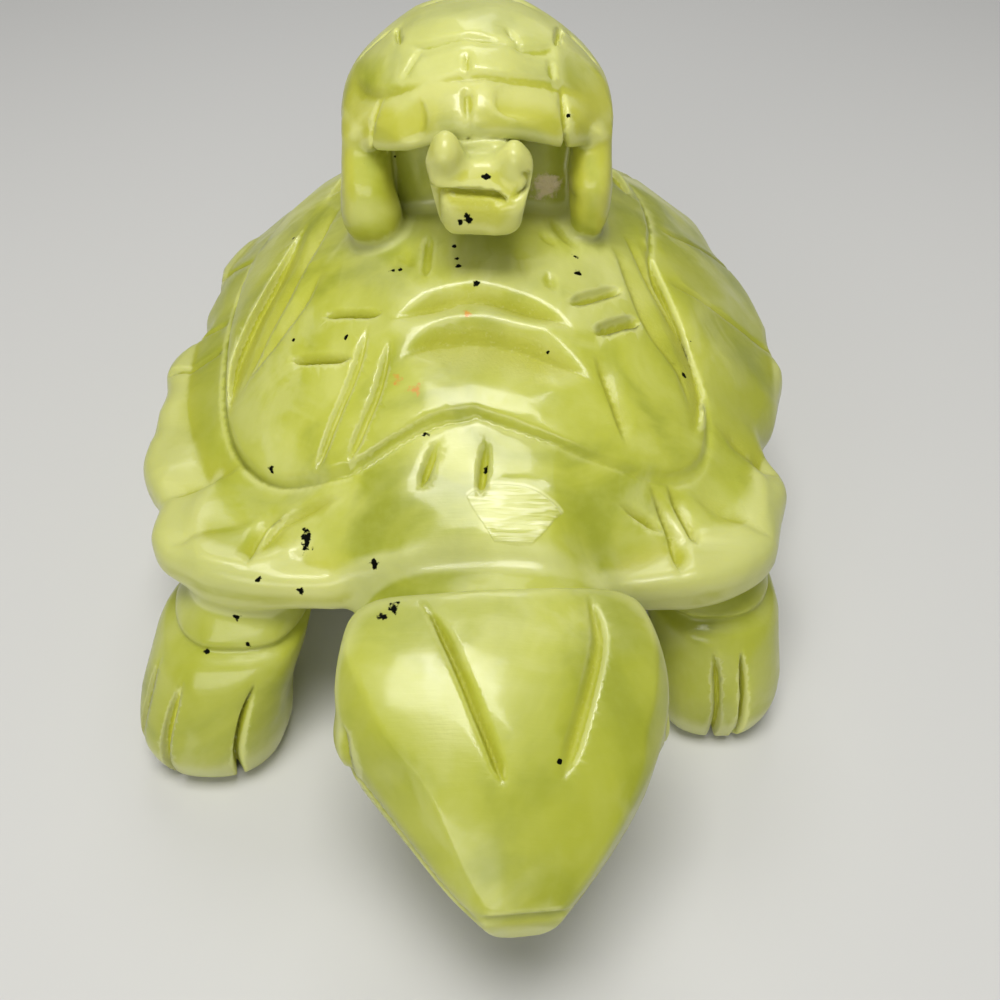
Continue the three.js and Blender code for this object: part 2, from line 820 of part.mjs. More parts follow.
function youngMouth() {
  const y = youngHead.front + 0.2;
  const path = [-5, -2.5, 0, 2.5, 4.4].map((x) => ({
    point: new THREE.Vector3(x, y, 72.2),
    normal: new THREE.Vector3(0, -1, 0.1).normalize(),
  }));
  return knifeCut(path, { left: 0.6, right: 0.6, depth: 1.3 }, 0.15);
}

// Joining and cutting

// A cut across the skirt from the plate's edge to the rim.
function marginCut(degrees) {
  const angle = THREE.MathUtils.degToRad(degrees);
  const path = [0.12, 0.5, 1.02].map((share) => {
    const away = lerp(plateOutline(angle), skirtOutline(angle), share);
    const p = shellPoint(angle, away, 0);
    p.setZ(shellHeight(p.x, p.y));
    return { point: p, normal: slopeNormal(domeHeight, p.x, p.y) };
  });
  return knifeCut(path, marginSlit, 0.2);
}

const joined = [
  motherShell(),
  motherBelly(),
  motherNeck(),
  motherTail(),
  motherHead(),
  eyeSwelling(-1),
  eyeSwelling(1),
  ...legs.map(motherLeg),
  youngTorso(),
  youngShell(),
  youngHeadSolid(),
  ...youngLegs.map(youngLeg),
  egg(new THREE.Vector3(...youngFoot.at), youngFoot.radii),
].reduce((block, piece) => block.add(piece));

const knife = [
  ...crescents.map((cut) => knifeCut(trace(cut.path, domeHeight, 4.5), cut)),
  ...ridges.map((cut) => knifeCut(trace(cut.path, shellHeight), cut, 0.2)),
  ...slits.map((plan) => knifeCut(trace(plan, shellHeight), slit, 0.2)),
  ...marginAngles.map(marginCut),
  ...crownCuts.map(crownCut),
  lipCut(-1),
  lipCut(1),
  eyeCut(-1),
  eyeCut(1),
  ...legs.flatMap((leg) => leg.toes.map((angle) => toeCut(leg, angle))),
  ...youngCuts.map((plan) => knifeCut(trace(plan, youngHeight), youngSlit, 0.2)),
  youngMouth(),
];
const carved = knife.reduce((block, cut) => block.subtract(cut), joined);

// A cut may leave a loose chip; the block is what stays in one piece.
const pieces = carved.simplify(0.03).decompose();
const block = pieces.reduce((most, piece) =>
  piece.volume() > most.volume() ? piece : most,
);

const geometry = geometryOf(block);
geometry.computeBoundingBox();
const middle = geometry.boundingBox.getCenter(new THREE.Vector3());
geometry.translate(-middle.x, -middle.y, 0);

const group = new THREE.Group();
const jade = new THREE.MeshStandardMaterial({
  color: 0xb9bd55,
  roughness: 0.28,
  metalness: 0,
});
const turtle = new THREE.Mesh(geometry, jade);
turtle.name = "jade_turtle";
group.add(turtle);

export default group;
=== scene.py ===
"""A turtle carved from one block of yellow-green jade, with a young turtle on its back, in Blender 4.5.

The carving is one solid that closes on itself, so it is worked out as one field: a function of a point in
space that is negative inside the stone, zero on its skin and about the distance in millimetres elsewhere.
Each limb, shell and head has its own field from named sizes, the fields are joined with fillets, and the
carver's cuts are taken off the result. The skin is then found on a fine grid, all as whole arrays.

The carving frame is in millimetres, with the head towards -Y and the ground at z = 0. Left and right are -X
and +X, as seen from the front. A factor a little under 1 on a form's field brings it nearer to a distance
where the skin slopes.
"""

from __future__ import annotations

import logging
import math
from concurrent.futures import ThreadPoolExecutor
from dataclasses import dataclass, field, replace
from enum import Enum
from functools import cached_property, reduce
from typing import Callable, Optional, Sequence, Union

import bpy
import numpy as np
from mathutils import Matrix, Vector

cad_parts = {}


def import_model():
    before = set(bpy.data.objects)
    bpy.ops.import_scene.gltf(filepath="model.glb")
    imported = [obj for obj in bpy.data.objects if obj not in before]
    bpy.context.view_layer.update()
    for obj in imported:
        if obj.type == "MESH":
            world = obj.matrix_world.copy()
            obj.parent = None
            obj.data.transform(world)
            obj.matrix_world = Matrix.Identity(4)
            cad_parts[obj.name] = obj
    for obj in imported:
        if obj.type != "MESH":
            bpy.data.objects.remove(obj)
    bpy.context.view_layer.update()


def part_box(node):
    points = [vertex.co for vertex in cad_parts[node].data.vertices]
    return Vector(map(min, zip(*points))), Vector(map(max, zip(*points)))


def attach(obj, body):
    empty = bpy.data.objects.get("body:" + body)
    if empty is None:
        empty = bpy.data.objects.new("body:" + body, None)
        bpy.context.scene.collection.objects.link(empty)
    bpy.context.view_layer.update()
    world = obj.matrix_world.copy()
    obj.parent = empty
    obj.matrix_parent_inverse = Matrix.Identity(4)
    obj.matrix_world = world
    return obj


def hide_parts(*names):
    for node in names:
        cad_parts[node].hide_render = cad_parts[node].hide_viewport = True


log = logging.getLogger("jade_turtle")

Array = np.ndarray
Field = Callable[[Array], Array]

MM = 0.001
NODE = "jade_turtle"
# From the carving frame to the row frame, whose origin is under the middle of the outline
CARVING_SHIFT_MM = np.array([1.424, 16.452, 0.0])
DEEPEST_CUT_MM = 2.6
THREADS = 4
# The skin's measures, each an attribute of the mesh that the finish reads
MEASURES = ("cut", "hollow", "thin", "edge")
# Corners of a cube, and the four cells round a grid edge in order
CORNERS = [(i, j, k) for i in (0, 1) for j in (0, 1) for k in (0, 1)]
SIDES = [(1, 1), (0, 1), (0, 0), (1, 0)]


def smooth_step(t: Array) -> Array:
    """0 below 0, 1 above 1, and 3t^2 - 2t^3 between."""
    t = np.clip(t, 0.0, 1.0)
    return t * t * (3.0 - 2.0 * t)


def join(a: Array, b: Array, fillet: float) -> Array:
    """Fields a and b as one, with a fillet where they meet.

    The value is min(a, b) - h^2 fillet / 4 with h = max(1 - |a - b| / fillet, 0).

    Args:
        a: Field values of one form.
        b: Field values of the other form.
        fillet: Width of the blend in millimetres.

    Returns:
        Field values of the joined form.
    """
    h = np.maximum(1.0 - np.abs(a - b) / fillet, 0.0)
    return np.minimum(a, b) - h * h * fillet / 4.0


def common(a: Array, b: Array, rounding: float) -> Array:
    """What lies in both fields, with the edge between them rounded over the given width."""
    return -join(-a, -b, rounding)


def super_radius(sine: Array, cosine: Array, half_across: Array, half_along: Array, power: Array) -> Array:
    """Distance from the middle of a superellipse to its edge: (|sin / a|^p + |cos / b|^p)^(-1/p).

    Args:
        sine: Sine of the direction.
        cosine: Cosine of the direction.
        half_across: Half size where the sine is 1.
        half_along: Half size where the cosine is 1.
        power: The superellipse's power, 2 for an ellipse.

    Returns:
        The distance in that direction.
    """
    total = np.abs(sine / half_across) ** power + np.abs(cosine / half_along) ** power
    return total ** (-1.0 / power)


def round_section(across: Array, along: Array, half_across: Array, half_along: Array, power: float) -> Array:
    """Distance along the ray from a superellipse: r - r / q, with q = (|x / a|^p + |y / b|^p)^(1/p).

    Args:
        across: First coordinate from the middle.
        along: Second coordinate from the middle.
        half_across: Half size along the first.
        half_along: Half size along the second.
        power: The superellipse's power.

    Returns:
        Negative inside, positive outside, in millimetres.
    """
    q = (np.abs(across / half_across) ** power + np.abs(along / half_along) ** power) ** (1.0 / power)
    r = np.hypot(across, along)
    q = np.maximum(q, 1e-4)
    return np.where(q > 2e-4, r - r / q, -np.minimum(half_across, half_along))


def smooth_values(at: Array, pairs: Sequence[Sequence[float]]) -> Array:
    """A smooth curve through pairs of place and value.

    In each span v = h00 a + h10 w m + h01 b + h11 w n, where w is the span's width, a and b the values at
    its ends, and m and n the slopes there, each taken from the two neighbouring pairs. h00 to h11 are
    Hermite's cubics.

    Args:
        at: Places.
        pairs: Places in rising order, each with its value.

    Returns:
        The values there.
    """
    x, v = np.array(pairs, float).T
    left, right = np.maximum(np.arange(len(x)) - 1, 0), np.minimum(np.arange(len(x)) + 1, len(x) - 1)
    slope = (v[right] - v[left]) / (x[right] - x[left])
    i = np.clip(np.searchsorted(x, at) - 1, 0, len(x) - 2)
    w = x[i + 1] - x[i]
    t = np.clip((at - x[i]) / w, 0.0, 1.0)
    rise = t * t * (3.0 - 2.0 * t)
    return (
        v[i] * (1.0 - rise)
        + v[i + 1] * rise
        + w * (slope[i] * t * (1.0 - t) ** 2 - slope[i + 1] * t * t * (1.0 - t))
    )


def smooth_path(points: Sequence[Sequence[float]], samples: int) -> Array:
    """A Catmull-Rom curve through the points.

    Args:
        points: Two or more points in a plane.
        samples: How many points to return.

    Returns:
        The curve's points, samples by 2.
    """
    p = np.asarray(points, float)
    p = np.vstack([2 * p[0] - p[1], p, 2 * p[-1] - p[-2]])
    spans = len(p) - 3
    t = np.linspace(0.0, spans, samples)
    i = np.minimum(t.astype(int), spans - 1)
    u = (t - i)[:, None]
    a, b, c, d = p[i], p[i + 1], p[i + 2], p[i + 3]
    return 0.5 * (2 * b + (c - a) * u + (2 * a - 5 * b + 4 * c - d) * u**2 + (3 * b - a - 3 * c + d) * u**3)


class CutShape(Enum):
    """The section that a cut leaves in the stone."""

    SLIT = "steep sides and a narrow flat floor, as a cutting disc leaves"
    LEDGE = "two slopes that meet in a line"
    HOLLOW = "a round hollow"


@dataclass(frozen=True)
class KnifeCut:
    """A cut along a path drawn in two coordinates of the surface it is cut in.

    left and right are the widths of its two sides as seen walking along the path and depth is its greatest
    depth. It deepens from nothing over the share run_in of its length, and runs out over the share run_out.
    """

    path: Sequence[Sequence[float]]
    left: float
    right: float
    depth: float
    shape: CutShape = CutShape.SLIT
    run_in: float = 0.25
    run_out: float = 0.25

    def curve(self) -> Array:
        """The path as a fine line."""
        return smooth_path(self.path, 5 * (len(self.path) - 1) + 1)

    def reach(self) -> float:
        """How far from its path the cut can touch the surface."""
        return max(self.left, self.right)

    def depth_at(self, u: Array, v: Array) -> Array:
        """Depth taken off at points of the surface.

        The nearest place on the path gives the share of the length t and the distance d. The depth is depth
        * shape(d / (width * (0.3 + 0.7 fade))) * fade with fade = smooth_step(min(t / run_in, (1 - t) /
        run_out)), so that the cut narrows as it runs out. The width is that of the side that the point is
        on. A ledge's wider side levels out towards its end.

        Args:
            u: First coordinate of the points.
            v: Second coordinate of the points.

        Returns:
            Depth in millimetres, 0 away from the cut.
        """
        line = self.curve()
        out = np.zeros_like(u)
        near = np.flatnonzero(
            (u > line[:, 0].min() - self.reach())
            & (u < line[:, 0].max() + self.reach())
            & (v > line[:, 1].min() - self.reach())
            & (v < line[:, 1].max() + self.reach())
        )
        if not len(near):
            return out
        at = np.stack([u[near], v[near]], -1)[:, None, :]
        start, along = line[:-1], np.diff(line, axis=0)
        length = np.linalg.norm(along, axis=1)
        travelled = np.concatenate([[0.0], np.cumsum(length)])
        t = np.clip(((at - start) * along).sum(-1) / length**2, 0.0, 1.0)
        away = at - (start + t[..., None] * along)
        distance = np.linalg.norm(away, axis=-1)
        best = distance.argmin(1)
        rows = np.arange(len(near))
        d = distance[rows, best]
        side = along[best, 0] * away[rows, best, 1] - along[best, 1] * away[rows, best, 0]
        width = np.where(side > 0, self.left, self.right)
        done = (travelled[best] + t[rows, best] * length[best]) / travelled[-1]
        fade = smooth_step(np.minimum(done / self.run_in, (1.0 - done) / self.run_out))
        share = np.clip(1.0 - d / (width * (0.3 + 0.7 * fade)), 0.0, 1.0)
        if self.shape is CutShape.SLIT:
            share = smooth_step(share * 1.2)
        elif self.shape is CutShape.HOLLOW:
            share = smooth_step(share)
        else:
            share = np.where(width > 1.5, share**1.5, share)
        out[near] = self.depth * share * fade
        return out


def deepest(cuts: Sequence[KnifeCut], u: Array, v: Array) -> Array:
    """The greatest depth that any of the cuts takes at each point."""
    out = np.zeros_like(u)
    for cut in cuts:
        out = np.maximum(out, cut.depth_at(u, v))
    return out


def slit(*path: Sequence[float], depth: float = 0.9, width: float = 0.7, run_out: float = 0.25) -> KnifeCut:
    """A disc cut of even width through the given points."""
    return KnifeCut(path, width, width, depth, CutShape.SLIT, run_out, run_out)


def ledge(*path: Sequence[float], left: float, right: float, depth: float, run_out: float = 0.3) -> KnifeCut:
    """A step down to one side, steep on its narrow side."""
    return KnifeCut(path, left, right, depth, CutShape.LEDGE, run_out, run_out)


def scoop(*path: Sequence[float], width: float, depth: float) -> KnifeCut:
    """A shallow round hollow."""
    return KnifeCut(path, width, width, depth, CutShape.HOLLOW, 0.4, 0.4)


@dataclass(frozen=True)
class ToolMarks:
    """The shallow facets that the wheel leaves all over, worked out from seeds scattered in space.

    Space is divided into cubes, each with one seed, and a facet is a shallow bowl round the nearest seed:
    depth takes off deepest * (1 - (distance / reach)^2). On a round limb such a bowl comes out nearly flat.
    """

    spacing: float = 9.5
    reach: float = 7.6
    deepest: float = 0.42
    head_from: float = -60.0
    head_calm: float = 0.75

    @staticmethod
    def scatter(cube: Array, salt: float) -> Array:
        """A number from 0 to 1 for each cube, the fraction of 43758.5 * sin(dot product of its indices)."""
        mixed = np.sin(cube @ np.array([12.9898, 78.233, 37.719]) + salt) * 43758.5453
        return mixed - np.floor(mixed)

    def depth(self, p: Array) -> Array:
        """Depth taken off, from the nearest of the eight seeds around each point.

        Args:
            p: Points, n by 3.

        Returns:
            Depth in millimetres.
        """
        place = p / self.spacing - 0.5
        base = np.floor(place)
        nearest = np.full(len(p), 9e9)
        for corner in CORNERS:
            cube = base + corner
            away = 0.0
            for axis in range(3):
                seed = cube[:, axis] + 0.5 * (self.scatter(cube, 1.7 * axis) - 0.5)
                away = away + (place[:, axis] - seed) ** 2
            nearest = np.minimum(nearest, away)
        share = nearest * (self.spacing / self.reach) ** 2
        calmer = 1.0 - self.head_calm * smooth_step((self.head_from - p[:, 1]) / 8.0)
        return self.deepest * calmer * np.maximum(0.0, 1.0 - share)


@dataclass(frozen=True)
class Flat:
    """A flat left by the carver's wheel: its place, its depth under the skin, its half sizes and its lean.

    The flat lies across the skin there, leaned by the slopes lean along x and y.
    """

    at: tuple[float, float, float]
    sink: float = 0.4
    half: tuple[float, float] = (6.0, 6.0)
    lean: tuple[float, float] = (0.0, 0.0)


@dataclass(frozen=True)
class Plane:
    """A flat once it is settled on the skin: a point on it, its outward normal and its half sizes."""

    point: Array
    normal: Array
    half: tuple[float, float]

    def taken_off(self, values: Array, p: Array) -> Array:
        """The field without the stone beyond the plane, up to the flat's edge, where it climbs out again.

        Args:
            values: The field's values.
            p: The points.

        Returns:
            The new values.
        """
        side = np.array([1.0, 0.0, 0.0]) - self.normal[0] * self.normal
        side /= np.linalg.norm(side)
        away = p - self.point
        margin = 5.0
        near = np.flatnonzero((np.abs(away) < max(self.half) + margin).all(1))
        if not len(near):
            return values
        away = away[near]
        past = round_section(away @ side, away @ np.cross(self.normal, side), *self.half, 3.0)
        climb = 1.3 * np.maximum(past, 0.0)
        values[near] = common(values[near], away @ self.normal - climb, 0.4)
        return values


def plan_angle(x: Array, y: Array, middle_x: float, middle_y: float) -> Array:
    """Angle round a middle in plan, from the front (-Y) towards +X, in radians."""
    return np.arctan2(x - middle_x, middle_y - y)


@dataclass(frozen=True)
class Notch:
    """A notch between two lobes of the skirt: degrees from the front, depth, and half width in degrees."""

    at: float
    deep: float
    wide: float


@dataclass(frozen=True)
class Swelling:
    """A soft rise (or a hollow, if negative) of a surface over its plan."""

    x: float
    y: float
    half_x: float
    half_y: float
    rise: float

    def height(self, x: Array, y: Array) -> Array:
        """rise * exp(-(dx / half_x)^2 - (dy / half_y)^2)."""
        return self.rise * np.exp(-(((x - self.x) / self.half_x) ** 2) - ((y - self.y) / self.half_y) ** 2)


@dataclass(frozen=True)
class MotherShell:
    """The mother's shell: a dome with a raised plate, a step and a skirt of lobes round it."""

    half_width: float = 47.7
    left_wider: float = 1.6
    middle_y: float = -15.0
    front_reach: float = 43.0
    rear_reach: float = 73.0
    front_blunt: float = 4.2
    rear_blunt: float = 2.4
    skirt_top: float = 36.0
    skirt_thick: float = 7.0
    # The skirt's underside thickens inwards from this share of the outline, over the next share
    thicker_from: float = 0.94
    thicker_over: float = 0.24
    thicker_by: float = 1.5
    rim_rounding: float = 3.0
    under_rounding: float = 1.8
    dome_rise: float = 25.5
    dome_half_width: float = 47.0
    dome_half_length: float = 58.0
    dome_fullness: float = 2.3
    dome_flare: float = 1.2
    # Share of the outline at which the raised plate ends, by degrees from the cusp in front, on each side
    plate_left: tuple[tuple[float, float], ...] = (
        (0, 0.545), (12, 0.560), (22, 0.603), (31, 0.660), (44, 0.682),
        (58, 0.712), (77, 0.761), (107, 0.807), (124, 0.818), (180, 0.76),
    )
    plate_right: tuple[tuple[float, float], ...] = (
        (0, 0.545), (12, 0.577), (31, 0.642), (43, 0.690), (56, 0.709),
        (73, 0.662), (98, 0.540), (130, 0.60), (180, 0.76),
    )
    plate_step: float = 0.95
    left_deeper: float = 0.25
    groove_at: float = 0.6
    groove_deep: float = 0.5
    groove_half_width: float = 0.75
    notches: tuple[Notch, ...] = (
        Notch(0, 3.0, 22),
        Notch(-30, 0.5, 8),
        Notch(-51, -0.7, 4),
        Notch(-61.5, 1.9, 4.5),
        Notch(-72, -1.3, 5),
        Notch(-84, -1.0, 6),
        Notch(-97, -2.1, 7),
        Notch(-107, 2.0, 4.5),
        Notch(-119, 0.9, 4),
        Notch(-132, -3.2, 10),
        Notch(-150, 1.5, 8),
        Notch(180, 1.8, 9),
        Notch(156, 1.4, 6),
        Notch(147, -1.2, 6),
        Notch(129.5, 2.0, 6.5),
        Notch(113, -2.5, 13),
        Notch(95, -2.0, 7),
        Notch(73, 3.7, 6.5),
        Notch(57, 1.6, 8),
    )
    swellings: tuple[Swelling, ...] = (
        Swelling(-30, -46, 6, 6, -1.3),
        Swelling(30, -43, 7, 7, -0.9),
        Swelling(-12, -52.5, 5.5, 3.0, -1.3),
        Swelling(16, -53.0, 6.0, 3.2, -1.3),
    )
    # The collar's roll: its crisp crest, and the slope of the flat face in front of it
    crest_y: float = -46.4
    crest_x: float = -1.5
    crest_rise: float = 1.1
    crest_run: float = 6.0
    face_fall: float = 0.5
    ledges: tuple[KnifeCut, ...] = (
        ledge(
            [-13, -26.6], [-9.5, -25.5], [-5, -23.9], [0.5, -23.1], [5.5, -24.3], [9.5, -25.7], [14, -28],
            left=1.7, right=3.6, depth=1.7,
        ),
        ledge(
            [-11.4, -32.2], [-8.6, -30.6], [-5.4, -29.1], [-1, -28.8],
            [5.5, -29.6], [11.5, -31.7], [16, -34.2],
            left=2.3, right=7.0, depth=2.2,
        ),
        ledge([-21.5, 6], [-24.6, -4], [-28.9, -14.7], [-36.4, -29.5], left=0.6, right=6.0, depth=1.1),
        ledge(
            [-27, 6], [-35.1, -13.4], [-36.9, -21.9], [-35.8, -32],
            left=6.0, right=0.7, depth=2.3, run_out=0.35,
        ),
        ledge(
            [24, -3], [26.8, -11.7], [29.7, -20.7], [31.3, -29.2], [29.5, -36.5],
            left=0.7, right=5.0, depth=1.7,
        ),
        ledge([-23, -12], [-27, -19.6], [-35.5, -26], left=0.6, right=3.2, depth=1.0),
        ledge([18.9, -9.1], [23, -21.9], [28.1, -27.9], [30.3, -35.5], left=5.0, right=0.6, depth=0.8),
        ledge([21, -5], [26, -17], [33, -27.5], left=5.0, right=0.6, depth=1.2),
        ledge([15.4, -29.5], [19.8, -41], left=3.0, right=0.6, depth=0.9),
        ledge([19, 30], [22, 20], [24, 8], left=0.6, right=4.0, depth=1.2),
        ledge([-20, 30], [-23, 20], [-25, 8], left=4.0, right=0.6, depth=1.2),
        ledge([-45.5, -40.6], [-39.7, -37.9], [-32.7, -36.2], left=5.0, right=1.4, depth=0.7),
        ledge([-42.5, -50.4], [-37, -47.6], [-29, -44.2], left=4.5, right=1.6, depth=0.5),
        ledge([44, -36], [38.5, -33.6], [33, -31.2], left=1.4, right=5.0, depth=0.7),
        ledge([41, -48.4], [35, -45.5], [28, -41.6], left=1.6, right=4.5, depth=0.5),
        ledge([-30.5, -54.1], [-29.2, -47.4], [-25.4, -44.9], left=2.2, right=0.6, depth=1.0),
        ledge([-29.0, -52.0], [-27.3, -47.3], [-23.2, -46], [-17.5, -45.9], left=0.6, right=2.2, depth=1.1),
        ledge([22.6, -42.8], [25.5, -49.5], [26.3, -55.5], left=2.2, right=0.6, depth=1.0),
        ledge([25.2, -42.0], [29.4, -50.3], left=2.2, right=0.6, depth=1.0),
    )
    slits: tuple[KnifeCut, ...] = (
        slit([-22.4, -21.5], [-13.2, -25.0], width=0.8, depth=1.3),
        slit([-27.0, -26.4], [-17.0, -30.4], width=0.85, depth=1.6),
        slit([12.0, -24.0], [20.4, -18.5], width=0.85, depth=1.3),
        slit([15.4, -27.4], [22.9, -22.2], width=0.9, depth=1.6),
        slit([-14.9, -25.4], [-17.3, -33.3], [-22.7, -44.5], width=0.75, depth=0.9),
        slit([-11.9, -28.6], [-13.9, -36.3], [-18.0, -44.0], width=0.75, depth=0.9),
        slit([-5.3, -41.4], [-7.8, -47.9], width=0.8, depth=1.0, run_out=0.35),
        slit([1.2, -41.6], [0.1, -49.4], width=0.9, depth=1.2, run_out=0.35),
        slit([18.0, -47.0], [25.4, -49.0], width=0.8, run_out=0.4),
        slit([-7.2, -11.9], [-7.6, -20.7], width=1.0, depth=0.6),
        slit([-14, 32], [0, 36], [14, 32]),
        slit([-17, 42], [0, 46.5], [17, 42]),
    )
    scoops: tuple[KnifeCut, ...] = (
        scoop([9.8, -7.0], [13.6, -13.8], width=1.5, depth=0.6),
        scoop([8.2, -11.0], [10.9, -14.2], width=1.0, depth=0.4),
        scoop([9.1, -18.7], [10.4, -22.5], width=1.4, depth=0.4),
        scoop([5.2, -14.6], [6.6, -21.0], width=1.6, depth=0.4),
        scoop([-12.2, -14.6], [-8.8, -18.4], width=1.6, depth=0.4),
    )
    # Cuts across the skirt, in degrees from the front
    margin_cuts: tuple[float, ...] = (-124, -104, -94, -150, 180, 150, 124, 100)
    margin_half_width: float = 0.8
    margin_deep: float = 0.95

    def angle(self, x: Array, y: Array) -> Array:
        """Angle round the shell's middle, from the front towards +X."""
        return plan_angle(x, y, 0.0, self.middle_y)

    def plain_outline(self, angle: Array) -> Array:
        """The skirt's outline without its notches: two half superellipses, the front one the blunter."""
        front = np.cos(angle) > 0
        return super_radius(
            np.sin(angle),
            np.cos(angle),
            self.half_width - self.left_wider * np.sin(angle),
            np.where(front, self.front_reach, self.rear_reach),
            np.where(front, self.front_blunt, self.rear_blunt),
        )

    def notch_depth(self, angle: Array) -> Array:
        """Sum over the notches of deep * exp(-(turn / wide)^2)."""
        out = np.zeros_like(angle)
        for notch in self.notches:
            turn = (np.degrees(angle) - notch.at + 180.0) % 360.0 - 180.0
            out += notch.deep * np.exp(-((turn / notch.wide) ** 2))
        return out

    def plate_outline(self, angle: Array) -> Array:
        """A share of the skirt's outline, smooth on either side and drawn back to a cusp at the front."""
        turn = np.degrees(np.arctan2(np.sin(angle), np.cos(angle)))
        left = smooth_values(-turn, self.plate_left)
        right = smooth_values(turn, self.plate_right)
        return self.plain_outline(angle) * np.where(turn < 0, left, right)

    def collar(self, x: Array, y: Array) -> Array:
        """The roll of the collar: a ramp up to a crest, and a flat face before it that falls to the neck.

        With a the distance in front of the crest, the rise is crest_rise * max(0, 1 + a / crest_run) behind
        it. Before it the face lies at the crest's own height less face_fall * a. Both fade out where the
        crest ends on either side.
        """
        off = (x - self.crest_x) / 12.0
        ahead = self.crest_y - 2.3 * np.abs(np.clip(off, -1.6, 1.6)) ** 3 - y
        rise = self.crest_rise * np.maximum(0.0, 1.0 + ahead / self.crest_run)
        crest = self.dome_height(x, y + np.maximum(ahead, 0.0)) + self.crest_rise
        face = crest - self.face_fall * ahead - self.dome_height(x, y)
        fade = 1.0 - smooth_step((np.abs(off) - 0.9) / 1.0)
        return np.where(ahead < 0, rise, face) * fade

    def dome_height(self, x: Array, y: Array) -> Array:
        """The plain dome: skirt_top + rise * (1 - |x / a|^p - |y / b|^p)^flare."""
        reach = (
            np.abs(x / self.dome_half_width) ** self.dome_fullness
            + np.abs(y / self.dome_half_length) ** self.dome_fullness
        )
        return self.skirt_top + self.dome_rise * np.maximum(0.0, 1.0 - reach) ** self.dome_flare

    def top_height(self, x: Array, y: Array, angle: Array, away: Array) -> Array:
        """The dome with the step and groove round the plate, the dips at the notches and the soft swellings.

        Args:
            x: Plan coordinate across.
            y: Plan coordinate along.
            angle: Angle round the shell's middle.
            away: Distance from the shell's middle.

        Returns:
            Height of the shell's skin.
        """
        plate = self.plate_outline(angle)
        plain = self.plain_outline(angle)
        out = np.clip((away - plate) / (plain - plate), 0.0, 1.0)
        past = away - plate
        deeper = 1.0 - self.left_deeper * np.clip(np.sin(angle) * 4.0, -1.0, 1.0)
        foot = smooth_step(past / self.groove_at)
        step = self.plate_step * deeper * foot * (1.0 - 0.75 * smooth_step(out * 1.6))
        groove = self.groove_deep * deeper
        groove = groove * np.clip(1.0 - np.abs(past - self.groove_at) / self.groove_half_width, 0.0, 1.0)
        soft = sum(swelling.height(x, y) for swelling in self.swellings) + self.collar(x, y)
        dip = 0.55 * np.maximum(self.notch_depth(angle), 0.0) * out**1.5
        return self.dome_height(x, y) - step - groove - dip + soft

    def margin_depth(self, angle: Array, away: Array) -> Array:
        """Depth of the cuts across the skirt, from the plate's edge to the rim."""
        plate = self.plate_outline(angle)
        out = (away - plate) / (self.plain_outline(angle) - plate)
        fade = smooth_step((out - 0.1) / 0.25) * smooth_step((1.12 - out) / 0.2)
        depth = np.zeros_like(angle)
        for at in self.margin_cuts:
            turn = (angle - math.radians(at) + math.pi) % (2 * math.pi) - math.pi
            share = np.clip(1.0 - np.abs(turn * away) / self.margin_half_width, 0.0, 1.0)
            depth = np.maximum(depth, share * self.margin_deep)
        return depth * fade

    def field(self, p: Array) -> Array:
        """The shell: under its top skin, inside its outline and above its underside, with rounded edges.

        Args:
            p: Points, n by 3.

        Returns:
            Field values.
        """
        x, y, z = p.T
        angle = self.angle(x, y)
        away = np.hypot(x, y - self.middle_y)
        outline = self.plain_outline(angle) - self.notch_depth(angle)
        top = (z - self.top_height(x, y, angle, away)) * 0.85
        inwards = np.clip((self.thicker_from - away / outline) / self.thicker_over, 0.0, 1.0)
        bottom = self.skirt_top - self.skirt_thick - self.thicker_by * inwards
        side = common(away - outline, bottom - z, self.under_rounding)
        return common(top, side, self.rim_rounding)

    def cut_depth(self, p: Array) -> Array:
        """Depth of the knife cuts over the shell, which reach its upper skin alone."""
        x, y, z = p.T
        out = np.zeros_like(x)
        near = np.flatnonzero((z > 29.0) & (z < 66.0) & (y > -58.6))
        x, y = x[near], y[near]
        angle = self.angle(x, y)
        away = np.hypot(x, y - self.middle_y)
        depth = np.maximum(deepest(self.ledges, x, y), deepest(self.slits, x, y))
        depth = np.maximum(depth, deepest(self.scoops, x, y))
        out[near] = np.maximum(depth, self.margin_depth(angle, away))
        return out


@dataclass(frozen=True)
class Belly:
    """The rounded block under the shell."""

    half_width: float = 38.0
    half_length: float = 50.0
    bottom: float = 13.0
    top: float = 34.0
    fullness: float = 2.3
    lower_rounding: float = 9.0

    def field(self, p: Array) -> Array:
        """An upright superellipse with its lower edge well rounded."""
        x, y, z = p.T
        side = round_section(x, y, self.half_width, self.half_length, self.fullness)
        return common(common(side, self.bottom - z, self.lower_rounding), z - self.top, 1.0)


@dataclass(frozen=True)
class Tail:
    """The short tail, a tapered round wedge from root to tip."""

    root: tuple[float, float, float] = (0.0, 48.0, 28.0)
    tip: tuple[float, float, float] = (4.0, 65.0, 16.0)
    root_across: float = 10.0
    root_high: float = 9.0

    def field(self, p: Array) -> Array:
        """Share t of the way from root to tip gives the half sizes, root * sqrt(1 - 0.93 t^1.6)."""
        root, tip = np.array(self.root), np.array(self.tip)
        along = tip - root
        plain = ((p - root) @ along) / (along @ along)
        t = np.clip(plain, -0.4, 1.0)
        away = p - (root + t[:, None] * along)
        share = np.sqrt(1.0 - 0.93 * np.maximum(t, 0.0) ** 1.6)
        lift = np.sign(away[:, 2]) * np.hypot(away[:, 1], away[:, 2])
        side = round_section(away[:, 0], lift, self.root_across * share, self.root_high * share, 2.0)
        return common(side * 0.8, (plain - 0.97) * np.linalg.norm(along), 3.0)


